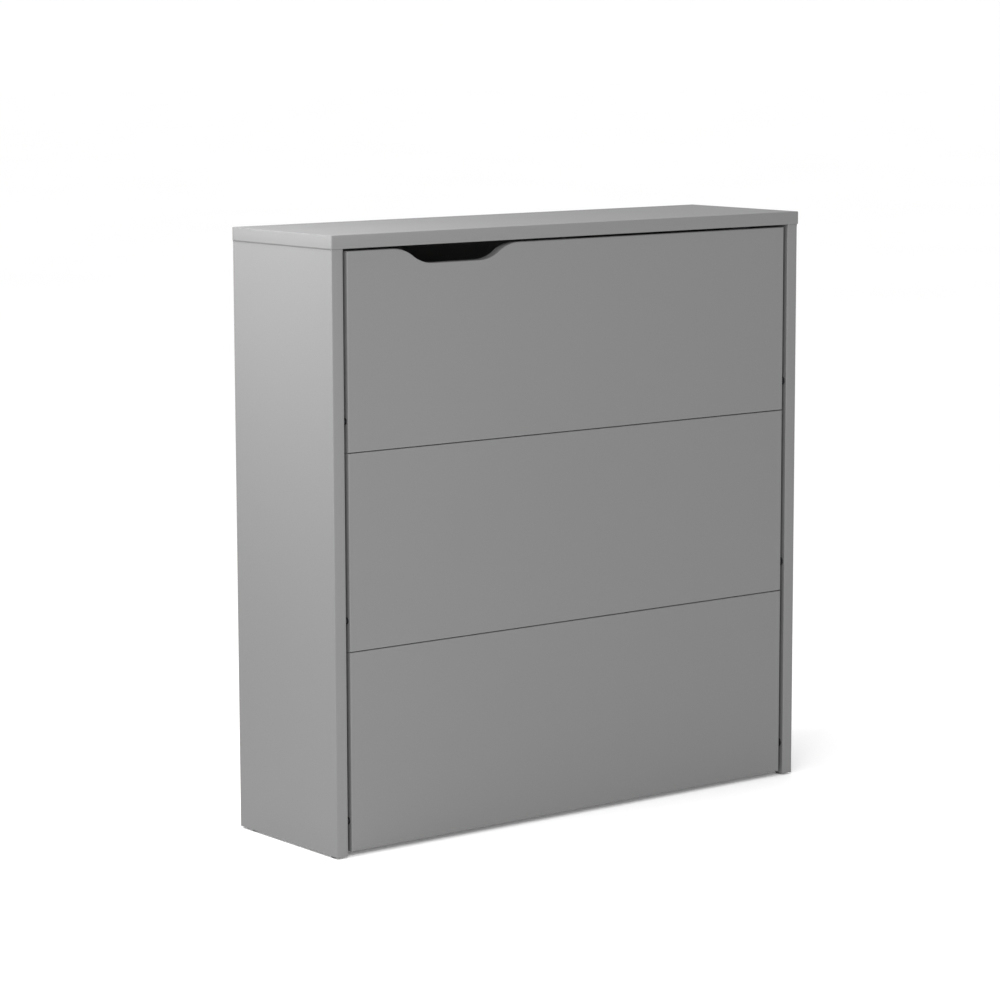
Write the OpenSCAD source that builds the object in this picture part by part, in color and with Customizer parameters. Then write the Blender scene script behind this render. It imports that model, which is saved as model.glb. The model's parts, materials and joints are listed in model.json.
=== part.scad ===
// Shoe cabinet with three tip-out flaps, each carrying a shoe bin.
// Origin: centre of the footprint on the floor. X runs along the front, the front faces -Y, Z is up.

/* [Cabinet] */
// Height from the floor to the top of the top panel
overall_h = 1000; // [940:5:1060]
// Width across the outer faces of the side panels
side_w = 990; // [800:5:1100]
// Depth of the top panel
top_d = 280; // [276:2:300]
// Thickness of the top and side panels
board_t = 22; // [20:1:25]
// How far the top panel stands proud of the sides and their front edges
top_overhang = 2; // [1:0.5:3]
// Rounding of the visible edges of the top and side panels
edge_r = 1.5; // [1:0.5:2]

/* [Flaps] */
// Thickness of the flap panels
flap_t = 18; // [16:1:18]
// Gap between a flap's end and the side panel
side_gap = 8; // [6:0.5:9]
// Joint between two flaps
joint_gap = 1; // [1:0.2:2.4]
// Gap between the top flap and the top panel
top_gap = 4; // [3:0.5:6]
// Flap fronts set back from the front edges of the sides
flap_setback = 1; // [0.5:0.5:2]
// Height of the lowest flap's bottom edge above the floor
flap_bottom_z = 9; // [8:1:12]
// Height of the bottom flap
bottom_flap_h = 325; // [318:0.5:330]
// Rounding of the flaps' front edges
flap_edge_r = 2; // [1:0.5:2]
// Opening angle of each flap
open_angle = 42; // [30:1:42]
// Height of a flap's pivot above its bottom edge
pivot_up = 50; // [46:1:54]

/* [Finger cut-out] */
// Centre of the cut-out from the outer face of the left side panel
cut_x = 247; // [200:1:700]
// Width of the cut-out at the flap's top edge
cut_top_w = 254; // [230:2:270]
// Width of the cut-out's flat bottom
cut_flat_w = 94; // [80:2:110]
// Depth of the cut-out
cut_depth = 26; // [20:0.5:28]

/* [Shoe bins] */
// Radius of the bin sides about the pivot
bin_r = 238; // [230:1:238]
// Thickness of the bin boards
bin_t = 12; // [10:1:12]
// Radius of the stop slot about the pivot
slot_r = 200; // [190:1:205]
// Thickness of the rails between the flaps and of the rear rail
rail_t = 16; // [15:1:16]
// Depth of the rails between the flaps
rail_d = 70; // [60:2:80]

/* [Fittings] */
// Thickness of the back panels
back_t = 5; // [4:0.5:5]
// Height of the glides under the sides
glide_h = 3; // [3:0.5:4]
// Spacing of the two wall-fixing holes
wall_spacing = 600; // [400:10:700]
// Radius of the wall-fixing holes
wall_hole_r = 3; // [2.5:0.5:3.5]

/* [Hidden] */
$fn = 48;
// Radial play of a pin that turns, and of a fastener in its hole
running_play = 0.05;
hole_play = 0.05;
// How far a cutter passes the face that it cuts
over = 1;

half_w = side_w / 2;
inner_x = half_w - board_t;
front_y = -top_d / 2 + top_overhang;
back_y = top_d / 2;
top_z = overall_h - board_t;

flap_front_y = front_y + flap_setback;
flap_back_y = flap_front_y + flap_t;
flap_half_w = inner_x - side_gap;
pivot_y = flap_front_y + flap_t / 2;
flap_top_z = top_z - top_gap;
upper_flaps_z = flap_bottom_z + bottom_flap_h + joint_gap;
upper_flap_h = (flap_top_z - upper_flaps_z - joint_gap) / 2;
// Bottom edge and height of each flap, from the bottom flap up
flap_z = [flap_bottom_z, upper_flaps_z, upper_flaps_z + upper_flap_h + joint_gap];
flap_h = [bottom_flap_h, upper_flap_h, upper_flap_h];

// Base panel, which the bottom flap hides
base_t = 18;
base_z = glide_h + 2;
base_front_y = flap_front_y + 52;
// Rails behind the two joints between flaps, under the sweep of the flap above
rail_front_y = flap_back_y + 4.5;
rail_sink = 2.5;
rail_top_z = [flap_z[1] - rail_sink, flap_z[2] - rail_sink];
// Back panels lie in a rebate of the sides
rebate_d = 6;
rebate_w = 10;
back_in_y = back_y - rebate_d;
back_split_z = 500;
strip_w = 24;
strip_t = 1;
web_t = 1.6;
rear_rail_h = 80;
wall_hole_drop = 30;
rear_rail_y = back_in_y - rail_t;

// Bin outline, measured from the pivot
bin_side_x = flap_half_w - 3;
bin_inner_x = bin_side_x - bin_t;
bin_bottom = -32;
bin_floor_z = -30;
bin_floor_back = 212;
bin_lip_h = 78;
bin_divider_z = 112;
bin_divider_back = 138;
bin_front = flap_t / 2;
bin_screw_inset = 30;
// Angle of the stop pin about the pivot, up from the horizontal, and the stop roller
stop_angle = 58;
stop_pin_r = 4;
stop_pin_in_side = 11.5;
stop_washer_r = 7;
stop_washer_t = 1;
sleeve_r = 5;
slot_half_w = 5.5;

// Pivot pins and their bushes
pivot_r = 4;
pivot_in_flap = 24;
pivot_in_side = 10;
bush_r = 6;
bush_flange_r = 7;
bush_l = pivot_in_side + 2;
bush_flange_t = 1.5;
pin_collar_r = 5.5;
pin_collar_t = 1.2;

// Knock-down fittings: the cams that hold the top and the base, and the dowels beside them, by their Y
top_cam_y = [-85, 90];
top_dowel_y = [-50, 60];
base_cam_y = [-50, 100];
base_dowel_y = 30;
rail_cam_inset = 22;
rail_dowel_inset = 16;
rear_dowel_rise = 24;
cam_r = 7.5;
cam_h = 12.5;
cam_reach = 34;
cam_bolt_r = 3.2;
cam_thread_r = 2.5;
cam_thread_l = 11;
cam_top_inset = 9.5;
dowel_r = 4;
dowel_half = 15;

// Push latches and magnetic catch
latch_w = 14;
latch_l = 62;
latch_h = 12;
latch_ear_w = 10;
latch_ear_l = 16;
latch_ear_t = 3;
latch_ear_inset = 6;
plunger_r = 3.4;
plunger_l = 50;
strike_t = 1.5;
strike_gap = 0.2;
strike_half_h = 6;
latch_strike_w = 26;
catch_strike_w = 44;
strike_screw_inset = [5, 5, 7];
latch_front_y = flap_back_y + 14;
catch_x = 380;
catch_w = 46;
catch_d = 15;
catch_h = 14;
catch_ear_w = 11;
catch_ear_t = 5;
catch_wall = 2;
magnet_half_w = 9;
magnet_d = 12;
magnet_h = 8;

// Small screws, the holes of which are 0.5 deeper than the screw
screw_r = 1.75;
screw_head_r = 3.4;
screw_head_h = 2.2;
back_screw_l = 15.5;
catch_screw_l = 13.5;
latch_screw_l = 11.5;
flap_screw_l = 12.5;
bracket_screw_l = 9.5;
strike_screw_l = 11.5;
// Long screws that hold the bins together
bin_screw_l = 45.5;
bin_screw_r = 2.5;
bin_screw_head_r = 4.6;
bin_screw_head_h = 3;

// Glides
glide_r = 9.5;
glide_nail_r = 1.5;
glide_nail_l = 14.5;
glide_front_inset = 16;
glide_back_inset = 35;

// Back screws: their heights in the sides, and their X in the base panel and the rear rail
back_side_z = [70, 270, 470, 530, 730, 930];
back_cross_x = [-360, -120, 120, 360];

// Angle brackets: a leg, half the width, and the thickness
bracket_leg = 24;
bracket_half_w = 18;
bracket_t = 1.5;
bracket_hole = 16;
bracket_z = [10, 200];

// Flap numbers, from the bottom up
BOTTOM = 0;
MIDDLE = 1;
TOP = 2;

lacquer = [0.58, 0.58, 0.585];
melamine = [0.66, 0.66, 0.66];
zinc = [0.72, 0.73, 0.74];
nylon = [0.9, 0.9, 0.88];
dark_plastic = [0.16, 0.16, 0.17];

function pivot_z(k) = flap_z[k] + pivot_up;

// ---- Shared shapes ----

// Box from one corner to the opposite one
module box(a, b) {
    translate(a) cube(b - a);
}

// Rectangle with its four corners rounded
module soft_rect(w, h, r) {
    translate([r, 0]) square([w - 2 * r, h]);
    translate([0, r]) square([w, h - 2 * r]);
    for (x = [r, w - r])
        for (y = [r, h - r])
            translate([x, y]) circle(r);
}

// Board whose front edges are eased: a plan outline crossed with an end outline
module eased_board(w, d, h, r) {
    intersection() {
        linear_extrude(h)
            difference() {
                soft_rect(w, d + 2 * r, r);
                translate([-over, d]) square([w + 2 * over, 2 * r + over]);
            }
        rotate([90, 0, 90])
            linear_extrude(w)
                difference() {
                    soft_rect(d + 2 * r, h, r);
                    translate([d, -over]) square([2 * r + over, h + 2 * over]);
                }
    }
}

// Countersunk screw, head at the origin, shank along +Z
module screw(l, r = screw_r, head_r = screw_head_r, head_h = screw_head_h, play = 0) {
    cylinder(h = head_h, r1 = head_r + play, r2 = r + play);
    cylinder(h = l, r = r + play);
}

// ---- Where the fittings go ----

// Cam joints: local +Z enters the board that holds the bolt, local +Y leaves the cam's face
module at_top_joints() {
    for (s = [-1, 1])
        for (y = top_cam_y)
            translate([s * (inner_x + cam_top_inset), y, top_z]) rotate([0, 0, 90 * s]) children();
}

module at_base_joints() {
    for (s = [-1, 1])
        for (y = base_cam_y)
            translate([s * inner_x, y, base_z + cam_top_inset]) rotate([-90, 0, -90 * s]) children();
}

module at_rail_joints() {
    for (s = [-1, 1])
        for (z = rail_top_z)
            translate([s * inner_x, rail_front_y + rail_cam_inset, z - rail_t / 2])
                rotate([-90, 0, -90 * s]) children();
}

module at_rear_rail_joints() {
    for (s = [-1, 1])
        translate([s * inner_x, rear_rail_y + rail_t / 2, top_z - rear_rail_h / 2])
            rotate([180, -90 * s, 0]) children();
}

module at_dowels() {
    for (s = [-1, 1]) {
        for (z = rail_top_z)
            translate([s * inner_x, rail_front_y + rail_d - rail_dowel_inset, z - rail_t / 2])
                rotate([0, 90, 0]) children();
        for (z = [-rear_dowel_rise, rear_dowel_rise])
            translate([s * inner_x, rear_rail_y + rail_t / 2, top_z - rear_rail_h / 2 + z])
                rotate([0, 90, 0]) children();
        for (y = top_dowel_y)
            translate([s * (inner_x + cam_top_inset + 1), y, top_z]) children();
        translate([s * inner_x, base_dowel_y, base_z + base_t / 2]) rotate([0, 90, 0]) children();
    }
}

// Cam bolt: its thread is in the mating board, its shank reaches the cam
module cam_bolt(play = 0) {
    cylinder(h = cam_thread_l, r = cam_thread_r + play);
    translate([0, 0, -cam_reach]) cylinder(h = cam_reach, r = cam_bolt_r + play);
}

// Seat of a cam lock, drilled from the face that lies "inset" above the bolt's axis
module cam_seat(inset, play = 0) {
    translate([0, inset + over, -cam_reach])
        rotate([90, 0, 0]) cylinder(h = cam_h + over, r = cam_r + play);
}

// Cam lock: a zinc drum with a slot for the bolt and a cross recess
module cam_lock(inset) {
    difference() {
        translate([0, inset, -cam_reach]) rotate([90, 0, 0]) cylinder(h = cam_h, r = cam_r);
        translate([0, 0, -cam_reach - cam_bolt_r])
            cylinder(h = cam_r + 3 * cam_bolt_r, r = cam_bolt_r + 0.4);
        for (a = [0, 90])
            translate([0, inset - 0.9, -cam_reach]) rotate([0, a, 0]) cube([7, 2, 1.4], center = true);
    }
}

module dowel(play = 0) {
    translate([0, 0, -dowel_half - play]) cylinder(h = 2 * (dowel_half + play), r = dowel_r + play);
}

// Local +Z runs outwards along each pivot, from the side panel's inner face
module at_pivots(levels = [BOTTOM, MIDDLE, TOP], sides = [-1, 1]) {
    for (k = levels)
        for (s = sides)
            translate([s * inner_x, pivot_y, pivot_z(k)]) rotate([0, 90 * s, 0]) children();
}

module at_stops(levels = [BOTTOM, MIDDLE, TOP], sides = [-1, 1]) {
    for (k = levels)
        for (s = sides)
            translate([
                s * inner_x,
                pivot_y + slot_r * cos(stop_angle),
                pivot_z(k) + slot_r * sin(stop_angle)
            ]) rotate([0, 90 * s, 0]) children();
}

module at_glides() {
    for (s = [-1, 1])
        for (y = [front_y + glide_front_inset, back_y - glide_back_inset])
            translate([s * (half_w - board_t / 2), y, 0]) children();
}

module at_wall_holes() {
    for (s = [-1, 1])
        translate([s * wall_spacing / 2, 0, top_z - wall_hole_drop]) rotate([-90, 0, 0]) children();
}

// Screws through the back panels into the sides, base panel and rear rail, local +Z forwards
module at_back_screws() {
    for (s = [-1, 1])
        for (z = back_side_z)
            translate([s * (inner_x + rebate_w / 2), back_in_y + back_t, z]) rotate([90, 0, 0]) children();
    for (x = back_cross_x) {
        translate([x, back_in_y + back_t, base_z + base_t / 2]) rotate([90, 0, 0]) children();
        translate([x, back_in_y + back_t, top_z - rear_rail_h + 20]) rotate([90, 0, 0]) children();
    }
}

// ---- Carcass ----

module top_panel() {
    color(lacquer)
        difference() {
            intersection() {
                translate([-half_w - top_overhang, -top_d / 2, top_z])
                    linear_extrude(board_t) soft_rect(side_w + 2 * top_overhang, top_d, 2 * edge_r);
                translate([-half_w - top_overhang, -top_d / 2, top_z])
                    rotate([90, 0, 90])
                        linear_extrude(side_w + 2 * top_overhang) soft_rect(top_d, board_t, edge_r);
                translate([-half_w - top_overhang, top_d / 2, top_z])
                    rotate([90, 0, 0])
                        linear_extrude(top_d) soft_rect(side_w + 2 * top_overhang, board_t, edge_r);
            }
            at_top_joints() cam_bolt(hole_play);
            at_dowels() dowel(hole_play);
            at_catch_screws() screw(catch_screw_l + 0.5, play = hole_play);
        }
}

module side_panel(s) {
    color(lacquer)
        difference() {
            translate([s < 0 ? -half_w : inner_x, front_y, glide_h])
                linear_extrude(top_z - glide_h)
                    difference() {
                        soft_rect(board_t, back_y - front_y + 2 * edge_r, edge_r);
                        translate([-over, back_y - front_y]) square([board_t + 2 * over, 2 * edge_r + over]);
                    }
            translate([s * inner_x, back_in_y, 0])
                mirror([s < 0 ? 1 : 0, 0, 0])
                    box([-over, 0, glide_h - over], [rebate_w, rebate_d + over, top_z + over]);
            at_top_joints() {
                cam_bolt(hole_play);
                cam_seat(cam_top_inset, hole_play);
            }
            at_base_joints() cam_bolt(hole_play);
            at_rail_joints() cam_bolt(hole_play);
            at_rear_rail_joints() cam_bolt(hole_play);
            at_dowels() dowel(hole_play);
            at_pivots()
                translate([0, 0, -over])
                    cylinder(h = bush_l + 0.5 + over, r = bush_r + hole_play);
            at_stops()
                translate([0, 0, -over])
                    cylinder(h = stop_pin_in_side + 0.5 + over, r = stop_pin_r + hole_play);
            at_glides() cylinder(h = glide_h + glide_nail_l + 0.5, r = glide_nail_r + hole_play);
            at_back_screws() screw(back_screw_l + 0.5, play = hole_play);
        }
}

module base_panel() {
    color(melamine)
        difference() {
            box([-inner_x, base_front_y, base_z], [inner_x, back_in_y, base_z + base_t]);
            at_base_joints() {
                cam_bolt(hole_play);
                cam_seat(cam_top_inset, hole_play);
            }
            at_dowels() dowel(hole_play);
            at_back_screws() screw(back_screw_l + 0.5, play = hole_play);
        }
}

// Rail behind the joint above flap k
module rail(k) {
    color(melamine)
        difference() {
            box([-inner_x, rail_front_y, rail_top_z[k] - rail_t],
                [inner_x, rail_front_y + rail_d, rail_top_z[k]]);
            at_rail_joints() {
                cam_bolt(hole_play);
                cam_seat(rail_t / 2, hole_play);
            }
            at_dowels() dowel(hole_play);
            at_latch_screws(k) screw(latch_screw_l + 0.5, play = hole_play);
        }
}

module rear_rail() {
    color(melamine)
        difference() {
            box([-inner_x, rear_rail_y, top_z - rear_rail_h], [inner_x, back_in_y, top_z]);
            at_rear_rail_joints() {
                cam_bolt(hole_play);
                cam_seat(rail_t / 2, hole_play);
            }
            at_dowels() dowel(hole_play);
            at_wall_holes() cylinder(h = back_y + over, r = wall_hole_r);
            at_back_screws() screw(back_screw_l + 0.5, play = hole_play);
        }
}

module back_panel(z0, z1) {
    color(melamine)
        difference() {
            box([-inner_x - rebate_w + 0.5, back_in_y, z0],
                [inner_x + rebate_w - 0.5, back_in_y + back_t, z1]);
            at_wall_holes() cylinder(h = back_y + over, r = wall_hole_r);
            at_back_screws() screw(back_screw_l + 0.5, play = hole_play);
        }
}

module back_panel_upper() {
    back_panel(back_split_z + web_t / 2, top_z - 0.5);
}

module back_panel_lower() {
    back_panel(base_z, back_split_z - web_t / 2);
}

// H-section strip that holds the two back panels edge to edge
module back_joining_strip() {
    strip_z = back_split_z - strip_w / 2;
    color(nylon) {
        box([-inner_x + 0.5, back_in_y - strip_t, strip_z], [inner_x - 0.5, back_in_y, strip_z + strip_w]);
        box([-inner_x - 8, back_in_y + back_t, strip_z],
            [inner_x + 8, back_in_y + back_t + strip_t, strip_z + strip_w]);
        box([-inner_x + 0.5, back_in_y - strip_t / 2, back_split_z - web_t / 2],
            [inner_x - 0.5, back_in_y + back_t + strip_t / 2, back_split_z + web_t / 2]);
    }
}

module back_screws() {
    color(zinc) at_back_screws() screw(back_screw_l);
}

module glides() {
    color(dark_plastic)
        at_glides() {
            cylinder(h = 1, r1 = glide_r - 1, r2 = glide_r);
            translate([0, 0, 1]) cylinder(h = glide_h - 1, r = glide_r);
            translate([0, 0, glide_h - 0.5]) cylinder(h = glide_nail_l + 0.5, r = glide_nail_r);
        }
}

module pivot_bushes() {
    color(dark_plastic)
        at_pivots()
            difference() {
                union() {
                    translate([0, 0, -bush_flange_t]) cylinder(h = bush_flange_t, r = bush_flange_r);
                    translate([0, 0, -bush_flange_t / 2])
                        cylinder(h = bush_l + bush_flange_t / 2, r = bush_r);
                }
                translate([0, 0, -bush_flange_t - over])
                    cylinder(h = pivot_in_side + 1 + bush_flange_t + over, r = pivot_r + running_play);
            }
}

module stop_pins() {
    reach = inner_x - bin_inner_x - 1;
    color(zinc)
        at_stops() {
            translate([0, 0, -reach]) cylinder(h = reach + stop_pin_in_side, r = stop_pin_r);
            translate([0, 0, -stop_washer_t]) cylinder(h = stop_washer_t, r = stop_washer_r);
        }
}

// Nylon roller that runs in the bin side's slot
module stop_sleeves() {
    reach = inner_x - bin_inner_x - 1;
    color(nylon)
        at_stops()
            difference() {
                translate([0, 0, -reach + 0.5]) cylinder(h = reach - 2, r = sleeve_r);
                translate([0, 0, -reach]) cylinder(h = reach, r = stop_pin_r + running_play);
            }
}

module cam_locks() {
    color(zinc) {
        at_top_joints() cam_lock(cam_top_inset);
        at_base_joints() cam_lock(cam_top_inset);
        at_rail_joints() cam_lock(rail_t / 2);
        at_rear_rail_joints() cam_lock(rail_t / 2);
    }
}

module cam_bolts() {
    color(zinc) {
        at_top_joints() cam_bolt();
        at_base_joints() cam_bolt();
        at_rail_joints() cam_bolt();
        at_rear_rail_joints() cam_bolt();
    }
}

module dowels() {
    color("burlywood") at_dowels() dowel();
}

// ---- Catch and latches ----

// Local +Z runs up into the top panel
module at_catch_screws() {
    for (s = [-1, 1])
        translate([
            catch_x + s * (catch_w - catch_ear_w - 1) / 2,
            catch_y() + catch_d / 2,
            top_z - catch_ear_t
        ]) children();
}

// The catch's face meets the strike plate on the closed top flap
function catch_y() = flap_back_y + strike_t + strike_gap;

module catch_housing() {
    color(dark_plastic)
        difference() {
            union() {
                box([catch_x - catch_w / 2 + catch_ear_w, catch_y(), top_z - catch_h],
                    [catch_x + catch_w / 2 - catch_ear_w, catch_y() + catch_d, top_z]);
                box([catch_x - catch_w / 2, catch_y() + 1, top_z - catch_ear_t],
                    [catch_x + catch_w / 2, catch_y() + catch_d, top_z]);
            }
            magnet_block(over);
            at_catch_screws() screw(catch_screw_l + 0.5, play = hole_play);
        }
}

// The magnet's block, which may pass the catch's face to cut its seat
module magnet_block(pass = 0) {
    z = top_z - catch_h + catch_wall;
    box([catch_x - magnet_half_w, catch_y() - pass, z],
        [catch_x + magnet_half_w, catch_y() + magnet_d, z + magnet_h]);
}

module catch_magnet() {
    color(zinc) magnet_block();
}

function latch_z(k) = rail_top_z[k] - rail_t - latch_h / 2;

// Local +Z runs up into the rail
module at_latch_screws(k) {
    for (s = [-1, 1])
        translate([
            s * (latch_w / 2 + latch_ear_w / 2),
            latch_front_y + latch_l - latch_ear_inset - latch_ear_l / 2,
            latch_z(k) + latch_h / 2 - latch_ear_t
        ]) children();
}

// Local +Z runs forwards, from the face that meets the strike plate
module at_plunger(k) {
    translate([0, flap_back_y + strike_t + strike_gap, latch_z(k)]) rotate([-90, 0, 0]) children();
}

// Plastic tube housing of the push latch under the rail above flap k
module latch_housing(k) {
    color(dark_plastic)
        difference() {
            union() {
                box([-latch_w / 2, latch_front_y, latch_z(k) - latch_h / 2],
                    [latch_w / 2, latch_front_y + latch_l, latch_z(k) + latch_h / 2]);
                box([
                        -latch_w / 2 - latch_ear_w,
                        latch_front_y + latch_l - latch_ear_inset - latch_ear_l,
                        latch_z(k) + latch_h / 2 - latch_ear_t
                    ],
                    [
                        latch_w / 2 + latch_ear_w,
                        latch_front_y + latch_l - latch_ear_inset,
                        latch_z(k) + latch_h / 2
                    ]);
            }
            translate([0, latch_front_y - over, latch_z(k)])
                rotate([-90, 0, 0]) cylinder(h = latch_l - 3 + over, r = plunger_r + running_play);
            at_latch_screws(k) screw(latch_screw_l + 0.5, play = hole_play);
        }
}

module latch_plunger(k) {
    color(nylon)
        at_plunger(k) {
            cylinder(h = 1.2, r1 = plunger_r - 1, r2 = plunger_r);
            translate([0, 0, 1.2]) cylinder(h = plunger_l - 1.2, r = plunger_r);
        }
}

// Round-wire coil along +Z, as a tube swept along a helix
module coil(l, r, wire_r, turns) {
    sides = 6;
    per_turn = 12;
    n = turns * per_turn;
    points = [
        for (i = [0:n])
            for (j = [0:sides - 1])
                let (a = 360 * i / per_turn, b = 360 * j / sides, d = r + wire_r * cos(b))
                    [d * cos(a), d * sin(a), wire_r + (l - 2 * wire_r) * i / n + wire_r * sin(b)]
    ];
    walls = [
        for (i = [0:n - 1])
            for (j = [0:sides - 1])
                let (k = (j + 1) % sides)
                    [i * sides + j, i * sides + k, (i + 1) * sides + k, (i + 1) * sides + j]
    ];
    start = [for (j = [sides - 1:-1:0]) j];
    end = [for (j = [0:sides - 1]) n * sides + j];
    polyhedron(points, concat(walls, [start, end]));
}

// Coil spring behind each plunger
module latch_springs() {
    spring_l = latch_front_y + latch_l - 3 - (flap_back_y + strike_t + strike_gap + plunger_l) - 0.6;
    color(zinc)
        for (k = [BOTTOM, MIDDLE])
            at_plunger(k) translate([0, 0, plunger_l + 0.3]) coil(spring_l, 2.4, 0.5, 6);
}

module fitting_screws() {
    color(zinc) {
        at_catch_screws() screw(catch_screw_l);
        for (k = [BOTTOM, MIDDLE]) at_latch_screws(k) screw(latch_screw_l);
    }
}

// ---- Flaps and bins: shapes are measured from the flap's pivot ----

module at_flap(k) {
    translate([0, pivot_y, pivot_z(k)]) children();
}

// Half outline of the finger cut-out from its centre: flat, S-shaped shoulder, top edge
module finger_cutout() {
    run = (cut_top_w - cut_flat_w) / 2;
    bend_r = (run * run + cut_depth * cut_depth) / (4 * cut_depth);
    bend_a = 2 * atan(cut_depth / run);
    steps = 10;
    lower = [for (i = [0:steps])
        [cut_flat_w / 2 + bend_r * sin(bend_a * i / steps), bend_r * (1 - cos(bend_a * i / steps))]];
    upper = [for (i = [steps - 1:-1:0])
        [cut_top_w / 2 - bend_r * sin(bend_a * i / steps),
            cut_depth - bend_r * (1 - cos(bend_a * i / steps))]];
    half = concat(lower, upper, [[cut_top_w / 2, cut_depth + over]]);
    left = [for (i = [len(half) - 1:-1:0]) [-half[i][0], half[i][1]]];
    rotate([90, 0, 0])
        linear_extrude(flap_t + 2 * over, center = true) polygon(concat(half, left));
}

// Bracket places on the back of a flap, local +X away from the bin side that it holds
module at_brackets(sides = [-1, 1]) {
    for (s = sides)
        for (z = bracket_z)
            translate([s * bin_inner_x, bin_front, z]) mirror([s > 0 ? 1 : 0, 0, 0]) children();
}

// Screws of one bracket: two into the flap, two into the bin side
module at_bracket_screws(into_flap = true, into_side = true) {
    for (z = [-9, 9]) {
        if (into_flap) translate([bracket_hole, bracket_t, z]) rotate([90, 0, 0]) children();
        if (into_side) translate([bracket_t, bracket_hole, z]) rotate([0, -90, 0]) children();
    }
}

module at_strike_screws(k) {
    spread = (k == TOP ? catch_strike_w : latch_strike_w) / 2 - strike_screw_inset[k];
    for (s = [-1, 1])
        translate([(k == TOP ? catch_x : 0) + s * spread, bin_front + strike_t, strike_z(k)])
            rotate([90, 0, 0]) children();
}

function strike_z(k) = (k == TOP ? top_z - catch_h / 2 - 1 : latch_z(k)) - pivot_z(k);

module flap_panel(k) {
    color(lacquer)
        difference() {
            translate([-flap_half_w, flap_front_y, flap_z[k]])
                eased_board(2 * flap_half_w, flap_t, flap_h[k], flap_edge_r);
            if (k == TOP)
                translate([cut_x - half_w, pivot_y, flap_z[k] + flap_h[k] - cut_depth]) finger_cutout();
            at_pivots([k])
                translate([0, 0, -side_gap - pivot_in_flap])
                    cylinder(h = pivot_in_flap + over, r = pivot_r + hole_play);
            at_flap(k) {
                at_brackets()
                    at_bracket_screws(into_side = false) screw(flap_screw_l + 0.5, play = hole_play);
                at_strike_screws(k) screw(strike_screw_l + 0.5, play = hole_play);
            }
        }
}

// Quarter-round bin side with the arc slot that the stop roller runs in
module bin_side(k, s) {
    x0 = s < 0 ? -bin_side_x : bin_inner_x;
    color(melamine)
        at_flap(k)
            difference() {
                translate([x0, 0, 0])
                    rotate([90, 0, 90])
                        linear_extrude(bin_t)
                            difference() {
                                intersection() {
                                    circle(bin_r, $fn = 96);
                                    translate([bin_front, bin_bottom]) square([bin_r, bin_r - bin_bottom]);
                                }
                                stop_slot();
                            }
                at_bin_screws([s]) bin_screw_hole();
                at_brackets([s])
                    at_bracket_screws(into_flap = false) screw(bracket_screw_l + 0.5, play = hole_play);
            }
}

// Arc slot about the pivot, with round ends
module stop_slot() {
    a0 = stop_angle - open_angle;
    far = 2 * bin_r;
    intersection() {
        difference() {
            circle(slot_r + slot_half_w, $fn = 96);
            circle(slot_r - slot_half_w, $fn = 96);
        }
        polygon([[0, 0], far * [cos(a0), sin(a0)], far * [cos(stop_angle), sin(stop_angle)]]);
    }
    for (a = [a0, stop_angle])
        translate(slot_r * [cos(a), sin(a)]) circle(slot_half_w);
}

// Long screws through a bin side into the floor, the divider and the rear lip, local +Z inwards
module at_bin_screws(sides = [-1, 1]) {
    for (s = sides)
        for (p = [
            [bin_front + bin_screw_inset, bin_floor_z + bin_t / 2],
            [bin_floor_back - bin_screw_inset - bin_t, bin_floor_z + bin_t / 2],
            [bin_front + bin_screw_inset, bin_divider_z + bin_t / 2],
            [bin_divider_back - bin_screw_inset, bin_divider_z + bin_t / 2],
            [bin_floor_back - bin_t / 2, bin_floor_z + bin_lip_h - 20]
        ])
            translate([s * bin_side_x, p[0], p[1]]) rotate([0, -90 * s, 0]) children();
}

module bin_screw() {
    screw(bin_screw_l, bin_screw_r, bin_screw_head_r, bin_screw_head_h);
}

module bin_screw_hole() {
    screw(bin_screw_l + 0.5, bin_screw_r, bin_screw_head_r, bin_screw_head_h, hole_play);
}

module bin_floor(k) {
    color(melamine)
        at_flap(k)
            difference() {
                box([-bin_inner_x, bin_front, bin_floor_z],
                    [bin_inner_x, bin_floor_back - bin_t, bin_floor_z + bin_t]);
                at_bin_screws() bin_screw_hole();
            }
}

module bin_divider(k) {
    color(melamine)
        at_flap(k)
            difference() {
                box([-bin_inner_x, bin_front, bin_divider_z],
                    [bin_inner_x, bin_divider_back, bin_divider_z + bin_t]);
                at_bin_screws() bin_screw_hole();
            }
}

module bin_rear_lip(k) {
    color(melamine)
        at_flap(k)
            difference() {
                box([-bin_inner_x, bin_floor_back - bin_t, bin_floor_z],
                    [bin_inner_x, bin_floor_back, bin_floor_z + bin_lip_h]);
                at_bin_screws() bin_screw_hole();
            }
}

module pivot_pins(k) {
    color(zinc)
        at_pivots([k]) {
            translate([0, 0, -side_gap - pivot_in_flap + 0.5])
                cylinder(h = side_gap + pivot_in_flap + pivot_in_side - 1, r = pivot_r);
            translate([0, 0, -side_gap]) cylinder(h = pin_collar_t, r = pin_collar_r);
        }
}

// Steel angle brackets that join the bin sides to the flap
module flap_brackets(k) {
    color(zinc)
        at_flap(k)
            at_brackets()
                difference() {
                    union() {
                        box([0, 0, -bracket_half_w], [bracket_leg, bracket_t, bracket_half_w]);
                        box([0, 0, -bracket_half_w], [bracket_t, bracket_leg, bracket_half_w]);
                    }
                    at_bracket_screws() screw(bracket_screw_l, play = hole_play);
                }
}

module flap_screws(k) {
    color(zinc)
        at_flap(k) {
            at_brackets() {
                at_bracket_screws(into_side = false) screw(flap_screw_l);
                at_bracket_screws(into_flap = false) screw(bracket_screw_l);
            }
            at_strike_screws(k) screw(strike_screw_l);
        }
}

module bin_screws(k) {
    color(zinc) at_flap(k) at_bin_screws() bin_screw();
}

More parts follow.
